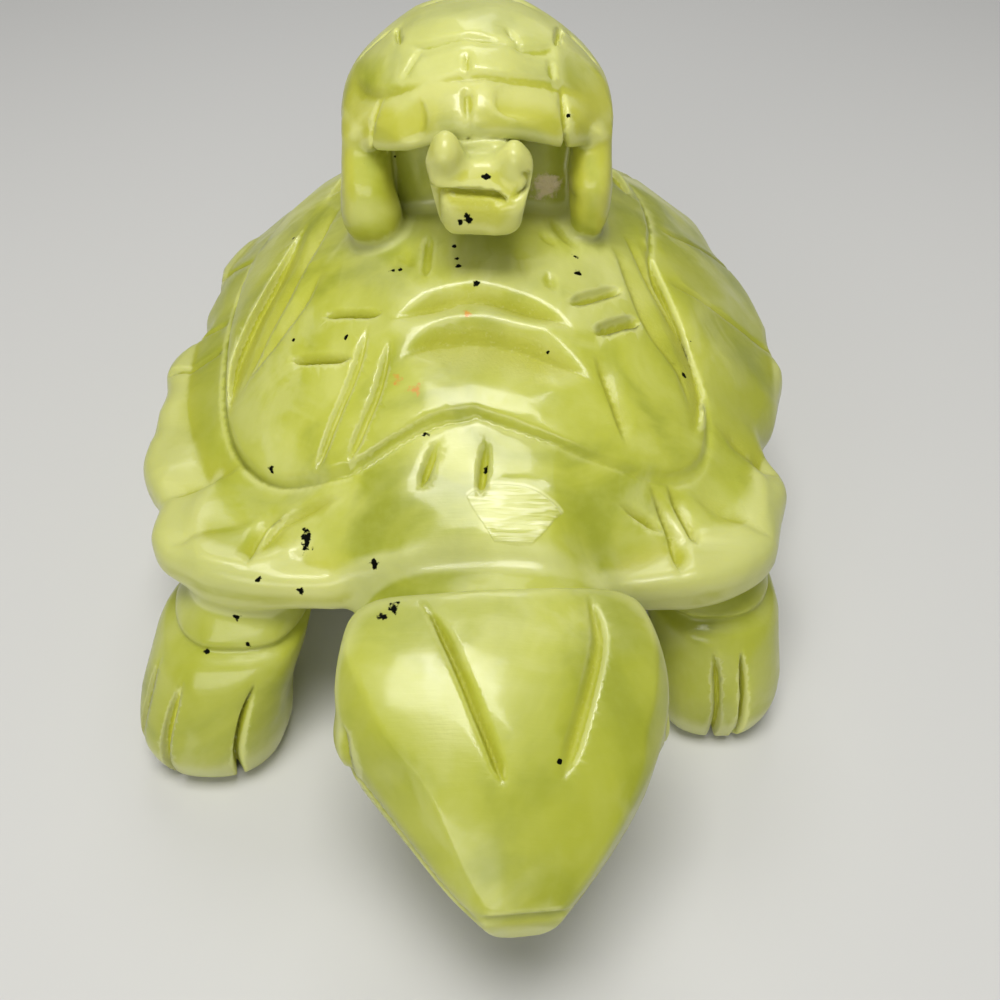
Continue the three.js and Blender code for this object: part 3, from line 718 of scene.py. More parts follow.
@dataclass(frozen=True)
class Neck:
    """The mother's neck, flared where it comes out of the collar."""

    root_y: float = -38.0
    tip_y: float = -68.0
    offset_x: float = 1.8
    half_width: float = 17.0
    half_height: float = 9.3
    middle_z: float = 29.5
    saddle_y: float = -58.6
    saddle_deep: float = 0.9

    def field(self, p: Array) -> Array:
        """Superellipse rings along -Y, wider by 0.6 (1 - smooth_step(t / 0.72))^1.6 towards the collar.

        The top sags to a saddle between collar and crown, by 1 - ((y - saddle_y) / 6)^2 of its depth.
        """
        x, y, z = p.T
        t = np.clip((self.root_y - y) / (self.root_y - self.tip_y), 0.0, 1.0)
        flare = 1.0 + 0.6 * (1.0 - smooth_step(t / 0.72)) ** 1.6
        sag = self.saddle_deep * np.clip(1.0 - ((y - self.saddle_y) / 6.0) ** 2, -1.0, 1.0)
        side = round_section(
            x - self.offset_x * t,
            z - self.middle_z + 1.5 * (flare - 1.0) + 0.5 * sag,
            self.half_width * flare,
            self.half_height - 0.5 * sag,
            2.3,
        )
        return common(common(side * 0.9, self.tip_y - y, 1.0), y - self.root_y, 1.0)


@dataclass(frozen=True)
class MotherHead:
    """The mother's head: round cheeks under a flatter crown, narrowing to a blunt beak.

    Its own frame runs forward from the crease behind the crown, across, and up. It is turned in plan and
    rolled.
    """

    crease_y: float = -64.6
    offset_x: float = 1.8
    turn: float = math.radians(7.6)
    roll: float = math.radians(4.7)
    beak_at: float = 33.0
    half_width: float = 19.6
    widest_at: float = 11.0
    narrow_over: float = 25.4
    narrow_power: float = 1.76
    back_narrowing: float = 0.14
    roof_top: float = 46.0
    roof_fall: float = 16.1
    middle_top: float = 37.0
    middle_fall: float = 9.4
    jaw_bottom: float = 20.0
    jaw_rise: float = 2.0
    camber: float = 3.2
    crown_over: float = 4.0
    crown_lean: float = 0.62
    snout_bend: float = 0.9
    snout_pinch: float = 0.045
    tip_drop: float = 1.6
    left_facet: float = 1.6
    right_facet: float = 1.3
    lip_z: float = 27.0
    lip_deep: float = 0.55
    back_rounding: float = 3.4
    roof_rounding: float = 0.6
    facet_rounding: float = 0.4
    # Where the ridges along the crown run, as shares of the half width, by distance forward
    left_ridge: tuple[tuple[float, float], ...] = (
        (0, 0.98), (6.5, 0.95), (10.9, 0.87), (16.5, 0.83),
        (22.2, 0.77), (26.8, 0.78), (30.6, 0.84), (33, 0.90),
    )
    right_ridge: tuple[tuple[float, float], ...] = (
        (0, 0.96), (7, 0.94), (11.6, 0.89), (15.8, 0.87),
        (18.3, 0.86), (22.6, 0.93), (28.4, 0.96), (33, 0.94),
    )
    fullness: float = 2.9
    crown_cuts: tuple[KnifeCut, ...] = (
        KnifeCut(
            [[2.4, -9.5], [6.7, -7.3], [12.1, -5.5], [16.7, -4.3], [23.2, -2.4]],
            0.95, 0.95, 1.1, CutShape.SLIT, 0.3, 0.12,
        ),
        KnifeCut(
            [[2.4, 10.4], [7.3, 11.0], [10.5, 10.3], [14.6, 8.4], [18.6, 6.2], [23.6, 3.4]],
            0.95, 1.3, 0.95, CutShape.SLIT, 0.2, 0.2,
        ),
    )
    eye_at: tuple[float, float] = (12.5, -2.5)
    eye_radii: tuple[float, float, float] = (2.4, 3.8, 3.0)
    ring_radius: float = 3.9
    ring_half_width: float = 0.7
    # The line of the mouth on either cheek, by distance forward and height from where the head is widest
    mouth: KnifeCut = slit([14, -3.2], [20, -3.0], [26, -2.8], [33, -2.2], depth=0.7, width=0.6)

    def own_frame(self, p: Array) -> tuple[Array, Array, Array]:
        """Forward, across and height of points in the head's own frame."""
        dx, dy = p[:, 0] - self.offset_x, p[:, 1] - self.crease_y
        forward = dx * math.sin(self.turn) - dy * math.cos(self.turn)
        tipped = dx * math.cos(self.turn) + dy * math.sin(self.turn)
        lifted = p[:, 2] - self.middle_top
        across = tipped * math.cos(self.roll) - lifted * math.sin(self.roll)
        height = self.middle_top + lifted * math.cos(self.roll) + tipped * math.sin(self.roll)
        return forward, across - self.snout_bend * self.snout_share(forward), height

    @staticmethod
    def snout_share(s: Array) -> Array:
        """How much of the snout's bend and pinch there is: exp(-((s - 22) / 8)^2)."""
        return np.exp(-(((s - 22.0) / 8.0) ** 2))

    def half_width_at(self, s: Array) -> Array:
        """half_width * (1 - back_narrowing * behind^2 - ahead^narrow_power - pinch), never under 0.6."""
        behind = np.maximum(0.0, self.widest_at - s) / self.widest_at
        ahead = np.maximum(0.0, s - self.widest_at) / self.narrow_over
        pinch = self.snout_pinch * self.snout_share(s)
        share = 1.0 - self.back_narrowing * behind**2 - ahead**self.narrow_power - pinch
        return np.maximum(self.half_width * share, 0.6)

    def top_at(self, s: Array) -> Array:
        """Height of the crown's middle line, roof_top - roof_fall * (s / beak_at)^1.8 - the tip's drop."""
        drop = self.tip_drop * smooth_step((s - 23.0) / 11.0)
        return self.roof_top - self.roof_fall * (np.maximum(s, 0.0) / self.beak_at) ** 1.8 - drop

    def middle_at(self, s: Array) -> Array:
        """Height where the head is widest: middle_top - middle_fall * (s / beak_at)^1.6."""
        return self.middle_top - self.middle_fall * (np.maximum(s, 0.0) / self.beak_at) ** 1.6

    def field(self, p: Array) -> Array:
        """Superellipse cheeks, cut off by crown, facets, back and beak, with a swelling for each eye.

        The crown's roof falls by bow * across^2 to either side, and beyond each ridge a facet falls more
        steeply.

        Args:
            p: Points, n by 3.

        Returns:
            Field values.
        """
        s, across, height = self.own_frame(p)
        half = self.half_width_at(s)
        middle = self.middle_at(s)
        above = self.top_at(s) + self.crown_over - middle
        below = middle - self.jaw_bottom - self.jaw_rise * np.maximum(s, 0.0) / self.beak_at
        lift = height - middle
        cheeks = round_section(across, lift, half, np.where(lift > 0, above, below), self.fullness) * 0.8
        back = -2.6 - s + self.crown_lean * np.clip(height - 38.0, 0.0, 9.0)
        lip = self.lip_deep * np.exp(-(((height - self.lip_z) / 0.8) ** 2))
        beak = (s - self.beak_at + lip) * 0.95
        head = common(cheeks, back * 0.85, self.back_rounding)
        bow = self.camber / (half * self.half_width)
        roof = (height - self.top_at(s) + bow * across**2) * 0.9
        head = common(head, roof, self.roof_rounding)
        left_ridge, right_ridge = smooth_values(s, self.left_ridge), smooth_values(s, self.right_ridge)
        ridge = half * np.where(across < 0, left_ridge, right_ridge)
        at_ridge = self.top_at(s) - bow * ridge**2
        steep = np.where(across < 0, self.left_facet, self.right_facet)
        facet = ((np.abs(across) - ridge) * steep + (height - at_ridge)) / np.hypot(steep, 1.0)
        head = common(head, facet, self.facet_rounding)
        head = common(head, beak, self.facet_rounding)
        eye_s, eye_lift = self.eye_at
        eye_half = float(self.half_width_at(np.array(eye_s))) - 1.8
        eye_z = float(self.middle_at(np.array(eye_s))) + eye_lift
        r = np.sqrt(
            ((np.abs(across) - eye_half) / self.eye_radii[0]) ** 2
            + ((s - eye_s) / self.eye_radii[1]) ** 2
            + ((height - eye_z) / self.eye_radii[2]) ** 2
        )
        return join(head, (r - 1.0) * min(self.eye_radii), 1.0)

    def cut_depth(self, p: Array) -> Array:
        """Depth of the crown cuts, of the mouth and of the cut round the front of each eye."""
        out = np.zeros(len(p))
        near = np.flatnonzero((p[:, 1] < -58.0) & (p[:, 2] > 18.0) & (p[:, 2] < 52.0))
        s, across, height = self.own_frame(p[near])
        crown = np.where(height > self.middle_at(s) + 2.0, deepest(self.crown_cuts, s, across), 0.0)
        crown = np.where(s > -1.0, crown, 0.0)
        mouth = self.mouth.depth_at(s, height - self.middle_at(s))
        eye_s, eye_lift = self.eye_at
        ring = np.hypot(s - eye_s + 0.6, (height - self.middle_at(s) - eye_lift) * 1.05)
        front = smooth_step((s - eye_s) / 2.0)
        eye = np.clip(1.0 - np.abs(ring - self.ring_radius) / self.ring_half_width, 0.0, 1.0) * front
        cheek = np.abs(across) > 0.6 * self.half_width_at(s)
        out[near] = np.maximum(crown, np.where(cheek, np.maximum(mouth, eye), 0.0))
        return out


@dataclass(frozen=True)
class Leg:
    """One stumpy leg: the plan places of its sole and hip, its half sizes and the angles of its toe cuts."""

    sole: tuple[float, float]
    hip: tuple[float, float]
    across: float
    along: float
    toes: tuple[float, ...]
    toe_deep: float = 1.5
    toe_wide: float = 0.62
    height: float = 35.0
    ankle: float = 22.3
    ankle_deep: float = 0.1
    ankle_half_high: float = 0.8
    knee_from: float = 6.0
    fullness: float = 2.4
    sole_at: float = -0.9
    sole_round: float = 8.0
    taper: float = 0.28

    def plan(self, p: Array) -> tuple[Array, Array, Array]:
        """Angle from the front, distance and the skin's radius round the leg's middle at each height."""
        x, y, z = p.T
        t = smooth_step((z - self.knee_from) / (self.height - self.knee_from))
        middle_x = self.sole[0] + (self.hip[0] - self.sole[0]) * t
        middle_y = self.sole[1] + (self.hip[1] - self.sole[1]) * t
        angle = plan_angle(x, y, middle_x, middle_y)
        ankle = self.ankle_deep * np.exp(-(((z - self.ankle) / self.ankle_half_high) ** 2))
        share = 1.0 - ankle - self.taper * smooth_step((z - 18.0) / 14.0)
        radius = super_radius(
            np.sin(angle), np.cos(angle), self.across * share, self.along * share, self.fullness
        )
        return angle, np.hypot(x - middle_x, y - middle_y), radius

    def field(self, p: Array) -> Array:
        """A leaning post with a flat sole, rounded over at its edge."""
        _, away, radius = self.plan(p)
        ball = common(away - radius, self.sole_at - p[:, 2], self.sole_round)
        return common(common(ball, -p[:, 2], 0.8), p[:, 2] - self.height, 1.0)

    def cut_depth(self, p: Array) -> Array:
        """Depth of the cuts between the toes, from under the ankle down to the sole.

        Each cut is upright in the plane of round_mm * angle and height, with round_mm for the leg's radius.
        """
        out = np.zeros(len(p))
        reach = max(self.across, self.along) + 4.0
        near = np.flatnonzero(
            (p[:, 2] < 21.5)
            & (np.abs(p[:, 0] - self.sole[0]) < reach)
            & (np.abs(p[:, 1] - self.sole[1]) < reach)
        )
        angle, _, radius = self.plan(p[near])
        round_mm = 10.0
        places = [math.radians(degrees) * round_mm for degrees in self.toes]
        toes = [slit([at, 20.5], [at, -5], depth=self.toe_deep, width=self.toe_wide) for at in places]
        out[near] = deepest(toes, angle * round_mm, p[near, 2])
        return out


@dataclass(frozen=True)
class Post:
    """A leg of the young turtle: its place, half sizes, and 1 or -1 as it draws towards -Y or +Y."""

    x: float
    y: float
    across: float
    along: float
    lean: int


@dataclass(frozen=True)
class YoungTurtle:
    """The young turtle on the mother's back: domed shell, torso, four posts for legs and a square head."""

    middle_x: float = -0.5
    middle_y: float = 3.0
    half_width: float = 19.8
    front_reach: float = 19.6
    rear_reach: float = 21.0
    front_blunt: float = 2.3
    rear_blunt: float = 2.0
    turn: float = math.radians(3.0)
    rim_side: float = 72.0
    rim_arch: float = 5.3
    arch_width: float = 0.7
    band: float = 1.4
    top: float = 87.0
    dome_fullness: float = 2.0
    dome_flare: float = 0.74
    torso_half_width: float = 17.5
    torso_front: float = -6.0
    torso_rear: float = 21.0
    torso_top: float = 74.0
    legs: tuple[Post, ...] = (
        Post(-15.9, -7.0, 3.8, 6.0, -1),
        Post(15.6, -7.0, 3.2, 6.0, -1),
        Post(-13.8, 14.0, 3.6, 6.0, 1),
        Post(12.6, 14.0, 3.6, 6.0, 1),
    )
    # The legs are widest at the shin, and their feet draw in and back over a height under it
    shin_z: float = 64.5
    foot_high: float = 6.5
    foot_draws_in: float = 0.34
    foot_draws_back: float = 1.9
    top_leans: float = 2.8
    leg_top: float = 75.0
    head_half: float = 6.6
    head_front: float = -24.0
    head_back: float = -6.0
    head_bottom: float = 65.0
    head_end: float = -15.6
    chin_rounding: float = 2.6
    brow_rounding: float = 1.2
    face_rounding: float = 1.3
    brow_top: float = 75.0
    brow_slope: float = 1.15
    brow_y: float = -19.8
    lump: tuple[float, float, float] = (4.45, -18.8, 74.9)
    lump_radii: tuple[float, float, float] = (2.25, 3.1, 3.4)
    lump_fillet: float = 1.9
    head_x: float = 0.2
    foot: tuple[float, float, float] = (-15.3, -10.4, 61.6)
    foot_radii: tuple[float, float, float] = (3.9, 3.8, 3.6)
    foot_fillet: float = 3.4
    ledges: tuple[KnifeCut, ...] = (
        ledge(
            [-17.6, 0.5], [-16.4, -3.3], [-13.1, -8.6], [-9.6, -10.4], [-6.2, -11.2],
            left=0.6, right=3.0, depth=0.55,
        ),
        ledge(
            [-7.5, -11.0], [-1.1, -11.7], [4.1, -11.4], [10.7, -9.2], [15.2, -5.5],
            left=0.6, right=3.0, depth=0.55,
        ),
        ledge(
            [-10.2, -2.6], [-7.1, -5.2], [-3.8, -5.6], [2.1, -5.8], [5, -6.2],
            left=0.6, right=2.6, depth=0.5,
        ),
        ledge([3.2, -6.0], [7.4, -5.4], [10.5, -2.6], left=0.6, right=2.4, depth=0.45),
        ledge([-9.5, 6], [0, 8.5], [9, 6], left=2.4, right=0.5, depth=0.7),
        ledge([-14.5, 12], [0, 16], [13.5, 12], left=2.6, right=0.5, depth=0.7),
    )
    slits: tuple[KnifeCut, ...] = (
        slit([-1.5, -8.6], [-1.4, -11.3], depth=0.4, width=0.6),
        slit([-1.4, -12.2], [-1.3, -16.6], depth=0.6, width=1.1, run_out=0.4),
        slit([-12.5, -8.6], [-14.6, -12.0], depth=0.6, width=0.6),
        slit([10.7, -8.2], [11.4, -14.0], depth=0.75, width=0.7),
        slit([-7.0, -4.7], [-10.1, -9.7], depth=0.35, width=0.8),
        slit([9.4, -5.5], [9.7, -9.4], depth=0.4, width=0.8),
        slit([3.3, -2.9], [5.8, -5.9], depth=0.35, width=0.6),
        slit([-10.6, -3.2], [-11.5, 4], depth=0.8, width=0.5),
        slit([10.2, -3.0], [11.2, 4], depth=0.8, width=0.5),
        slit([-17.6, 4], [-12, 4.5], depth=0.8, width=0.5),
        slit([17.0, 4], [11.6, 4.5], depth=0.8, width=0.5),
        slit([-1, 8.5], [-1, 15.5], depth=0.8, width=0.5),
        slit([-1, 16.5], [-1, 22], depth=0.8, width=0.5),
    )
    # On the head's face, by x and z: the step over the mouth, the mouth and the arc under the right eye
    face_cuts: tuple[KnifeCut, ...] = (
        KnifeCut([[-9.0, 72.2], [-1.0, 71.9], [3.8, 71.7]], 0.3, 7.0, 1.3, CutShape.LEDGE, 0.05, 0.2),
        slit([-4.2, 71.7], [0.0, 71.5], [4.0, 70.9], depth=2.2, width=0.55, run_out=0.15),
        slit([5.2, 74.6], [6.5, 73.2], [6.2, 72.2], [4.9, 71.5], [3.8, 71.2], depth=0.5, width=0.55),
    )

    def angle(self, x: Array, y: Array) -> Array:
        """Angle round the young shell's middle, from its own front."""
        return plan_angle(x, y, self.middle_x, self.middle_y) - self.turn

    def outline(self, angle: Array) -> Array:
        """The young shell's rim in plan: two half superellipses."""
        front = np.cos(angle) > 0
        return super_radius(
            np.sin(angle),
            np.cos(angle),
            self.half_width,
            np.where(front, self.front_reach, self.rear_reach),
            np.where(front, self.front_blunt, self.rear_blunt),
        )

    def rim(self, angle: Array) -> Array:
        """Height of the rim, arched over the head: rim_side + rim_arch * exp(-(angle / arch_width)^2)."""
        turn = np.arctan2(np.sin(angle), np.cos(angle))
        return self.rim_side + self.rim_arch * np.exp(-((turn / self.arch_width) ** 2))

    def shell_field(self, p: Array) -> Array:
        """The young shell: under its dome, inside its outline and above the underside of its rim."""
        x, y, z = p.T
        angle = self.angle(x, y)
        share = np.hypot(x - self.middle_x, y - self.middle_y) / self.outline(angle)
        base = self.rim(angle) + self.band
        dome = base + (self.top - base) * np.maximum(0.0, 1.0 - share**self.dome_fullness) ** self.dome_flare
        side = (share - 1.0) * self.outline(angle)
        skin = common((z - dome) * 0.65, side, 1.2)
        return common(skin, self.rim(angle) - self.band - z, 1.2)

    def torso_field(self, p: Array) -> Array:
        """The block between the legs, set back behind the head."""
        x, y, z = p.T
        middle_y = (self.torso_front + self.torso_rear) / 2
        half_length = (self.torso_rear - self.torso_front) / 2
        side = round_section(x - self.middle_x, y - middle_y, self.torso_half_width, half_length, 3.4)
        return common(side, z - self.torso_top, 1.0)

    def leg_field(self, p: Array, leg: Post) -> Array:
        """A post whose foot draws in and back by the square of the depth under the shin.

        Its top leans back under the rim.

        Args:
            p: Points, n by 3.
            leg: The leg's place and sizes.

        Returns:
            Field values.
        """
        x, y, z = p.T
        low = np.clip((self.shin_z - z) / self.foot_high, 0.0, 1.0)
        high = np.clip((z - 66.0) / 6.0, 0.0, 1.0)
        shrink = 1.0 - self.foot_draws_in * low**2.0 - 0.06 * high
        under_rim = smooth_step((z - 66.5) / 6.5)
        back = leg.y - leg.lean * (self.foot_draws_back * low**2.0 - 0.4 + self.top_leans * under_rim)
        side = round_section(x - leg.x, y - back, leg.across * shrink, leg.along * shrink, 2.8)
        return common(side, z - self.leg_top, 1.0)

    def head_field(self, p: Array) -> Array:
        """A block with a sloping brow, a rounded chin and two lumps over the eyes, on a short neck."""
        x, y, z = p.T
        aside = np.abs(x - self.head_x)
        ahead = np.clip((self.brow_y - y) / (self.brow_y - self.head_front), 0.0, 1.0)
        low = smooth_step((72.0 - z) / 6.0)
        roof = self.brow_top - self.brow_slope * np.maximum(self.brow_y - y, 0.0)
        across = aside - self.head_half * (1.0 - 0.10 * ahead**2 - 0.13 * low)
        chin = common(across, self.head_bottom + 0.6 * ahead - z, self.chin_rounding)
        front = (self.head_front + 0.7 * low - y) * 0.95
        block = common(common(chin, (z - roof) * 0.85, self.brow_rounding), front, self.face_rounding)
        block = common(block, y - self.head_end, 1.0)
        lump_x, lump_y, lump_z = self.lump
        lump_z = lump_z - 0.55 * np.sign(x - self.head_x)
        lump = np.sqrt(
            ((aside - lump_x) / self.lump_radii[0]) ** 2
            + ((y - lump_y) / self.lump_radii[1]) ** 2
            + ((z - lump_z) / self.lump_radii[2]) ** 2
        )
        block = join(block, (lump - 1.0) * min(self.lump_radii), self.lump_fillet)
        neck = round_section(aside, z - self.head_bottom - 5.2, self.head_half - 1.0, 6.2, 3.0)
        return join(block, common(neck, np.maximum(y - self.head_back, -17.2 - y), 0.6), 0.8)

    def field(self, p: Array) -> Array:
        """Shell, torso, legs and head joined."""
        out = join(self.shell_field(p), self.torso_field(p), 1.2)
        for leg in self.legs:
            out = join(out, self.leg_field(p, leg), 0.9)
        foot = np.linalg.norm((p - self.foot) / self.foot_radii, axis=1)
        out = join(out, (foot - 1.0) * min(self.foot_radii), self.foot_fillet)
        return join(out, self.head_field(p), 0.5)

    def cut_depth(self, p: Array) -> Array:
        """Depth of the cuts in the young shell, of the mouth and of the arc under the right eye."""
        out = np.zeros(len(p))
        near = np.flatnonzero(p[:, 2] > 65.0)
        x, y, z = p[near].T
        share = np.hypot(x - self.middle_x, y - self.middle_y) / self.outline(self.angle(x, y))
        own = (z > 71.0) & (share < 1.1) & ((y > -16.9) | (np.abs(x) > 7.5))
        shell = np.where(own, np.maximum(deepest(self.ledges, x, y), deepest(self.slits, x, y)), 0.0)
        face = np.where(y < -20.4, deepest(self.face_cuts, x, z), 0.0)
        out[near] = np.maximum(shell, face)
        return out


@dataclass(frozen=True)
class Carving:
    """The whole block."""

    shell: MotherShell = field(default_factory=MotherShell)
    belly: Belly = field(default_factory=Belly)
    neck: Neck = field(default_factory=Neck)
    tail: Tail = field(default_factory=Tail)
    head: MotherHead = field(default_factory=MotherHead)
    young: YoungTurtle = field(default_factory=YoungTurtle)
    legs: tuple[Leg, ...] = (
        Leg((-39.2, -54.4), (-30.6, -44.0), 11.0, 11.6, (-54, -27, 24)),
        Leg((35.4, -48.2), (32.0, -40.0), 9.8, 10.8, (-6, 15)),
        Leg((-33.0, 38.0), (-29.0, 33.0), 9.4, 9.8, (-120, -150)),
        Leg((33.0, 38.0), (29.0, 33.0), 9.4, 9.8, (120, 150)),
    )
    # Widths of the fillets where each form meets the rest
    belly_fillet: float = 5.0
    leg_fillet: float = 4.0
    neck_fillet: float = 2.6
    tail_fillet: float = 4.0
    head_fillet: float = 0.7
    young_fillet: float = 2.2
    tool_marks: ToolMarks = field(default_factory=ToolMarks)
    flats: tuple[Flat, ...] = (
        Flat((5.4, -49.8, 43.0), 0.2, (5.0, 3.6)),
        Flat((-10.0, -13.4, 77.9), 0.22, (3.0, 2.8), (0.06, -0.10)),
        Flat((6.8, -13.6, 80.2), 0.22, (4.6, 2.2), (-0.08, -0.04)),
        Flat((14.9, -8.4, 76.6), 0.2, (9.0, 9.0)),
        Flat((-16.1, -7.5, 77.0), 0.2, (9.0, 9.0)),
        Flat((-4.6, -8.0, 83.6), 0.16, (9.0, 9.0), (0.04, 0.0)),
        Flat((8.1, -6.9, 82.8), 0.16, (9.0, 9.0), (-0.05, 0.0)),
        Flat((-11.3, -5.6, 82.0), 0.16, (9.0, 9.0)),
    )
    low: tuple[float, float, float] = (-51.0, -100.0, -2.0)
    high: tuple[float, float, float] = (49.0, 68.0, 89.0)

    @cached_property
    def planes(self) -> list[Plane]:
        """The flats, settled on the skin of the block."""
        flats = self.flats
        at = np.array([flat.at for flat in flats])
        for _ in range(8):
            slope = self.slope(self.block, at, 1.5)
            at = at - 0.8 * self.block(at)[:, None] * slope
        lean = np.array([(*flat.lean, 0.0) for flat in flats])
        normals = unit(self.slope(self.block, at, 2.5) + lean)
        sinks = np.array([flat.sink for flat in flats])
        points = at - sinks[:, None] * normals
        return [Plane(point, normal, flat.half) for point, normal, flat in zip(points, normals, flats)]

    def plain_field(self, p: Array) -> Array:
        """The block with its flats, before the knife cuts."""
        out = self.block(p)
        for plane in self.planes:
            out = plane.taken_off(out, p)
        return out + self.tool_marks.depth(p) * smooth_step((p[:, 2] - 0.5) / 3.0)

    def block(self, p: Array) -> Array:
        """The joined forms. Each form is worked out only near itself.

        Args:
            p: Points, n by 3.

        Returns:
            Field values.
        """
        x, y, z = p.T
        out = self.shell.field(p)

        def add(form: Field, near: Array, fillet: float) -> None:
            """Joins a form to the rest at the points near it."""
            index = np.flatnonzero(near)
            if len(index):
                out[index] = join(out[index], form(p[index]), fillet)

        add(self.belly.field, z < 42, self.belly_fillet)
        for leg in self.legs:
            close = (np.abs(x - leg.sole[0]) < 24) & (np.abs(y - leg.sole[1]) < 26) & (z < 44)
            add(leg.field, close, self.leg_fillet)
        add(self.neck.field, (y < -30) & (z < 56) & (np.abs(x) < 42), self.neck_fillet)
        add(self.tail.field, (y > 34) & (z < 48), self.tail_fillet)
        add(self.head.field, (y < -50) & (z < 60), self.head_fillet)
        add(self.young.field, z > 50, self.young_fillet)
        return out

    def cut_depth(self, p: Array) -> Array:
        """How much the knife takes off at each point."""
        depth = np.maximum(self.shell.cut_depth(p), self.head.cut_depth(p))
        for leg in self.legs:
            depth = np.maximum(depth, leg.cut_depth(p))
        return np.maximum(depth, self.young.cut_depth(p))

    def field(self, p: Array) -> Array:
        """The block with its knife cuts."""
        return self.plain_field(p) + self.cut_depth(p)

    @staticmethod
    def slope(of: Field, p: Array, probe: float) -> Array:
        """Unit outward normals: a field's slope from four values on a small tetrahedron round each point."""
        corners = np.array([[1, -1, -1], [-1, -1, 1], [-1, 1, -1], [1, 1, 1]], float)
        return unit(sum(of(p + probe * corner)[:, None] * corner for corner in corners))

    def normal(self, p: Array, probe: float) -> Array:
        """Unit outward normals of the finished stone."""
        return self.slope(self.field, p, probe)

    def on_skin(self, p: Array, steps: int = 6) -> Array:
        """Points moved to the nearest skin, each step by -F along the normal."""
        for _ in range(steps):
            p = p - 0.9 * self.field(p)[:, None] * self.normal(p, 0.3)
        return p


def in_threads(function: Field, points: Array, chunk: int = 50000) -> Array:
    """The function of many points, worked out in blocks side by side.

    Args:
        function: A function of n by 3 points that returns n rows.
        points: The points.
        chunk: Points to a block.

    Returns:
        The values in the order of the points.
    """
    if len(points) <= chunk:
        return function(points)
    blocks = np.array_split(points, math.ceil(len(points) / chunk))
    with ThreadPoolExecutor(THREADS) as pool:
        return np.concatenate(list(pool.map(function, blocks)))


def unit(vectors: Array) -> Array:
    """The vectors at length 1."""
    return vectors / np.maximum(np.linalg.norm(vectors, axis=1, keepdims=True), 1e-9)


def around(cells: Array, offsets: Sequence[Sequence[int]]) -> Array:
    """Every cell moved by every offset, as one list."""
    return (cells[:, None, :] + np.asarray(offsets)).reshape(-1, 3)


@dataclass(frozen=True)
class Crossings:
    """Where the skin crosses the grid's edges along one axis.

    cells holds the grid corners where the crossed edges start, points the crossings in millimetres, normals
    the outward normals there, and inside_first is true where the edge starts inside the stone.
    """

    axis: int
    cells: Array
    points: Array
    normals: Array
    inside_first: Array

    def beside(self, du: int, dv: int) -> Array:
        """The cells on one of the four sides of each crossed edge.

        Args:
            du: 1 for the side before the edge on the first other axis, 0 for the side after it.
            dv: The same for the second other axis.

        Returns:
            Cell indices, n by 3.
        """
        first, second = [k for k in range(3) if k != self.axis]
        out = self.cells.copy()
        out[:, first] -= du
        out[:, second] -= dv
        return out


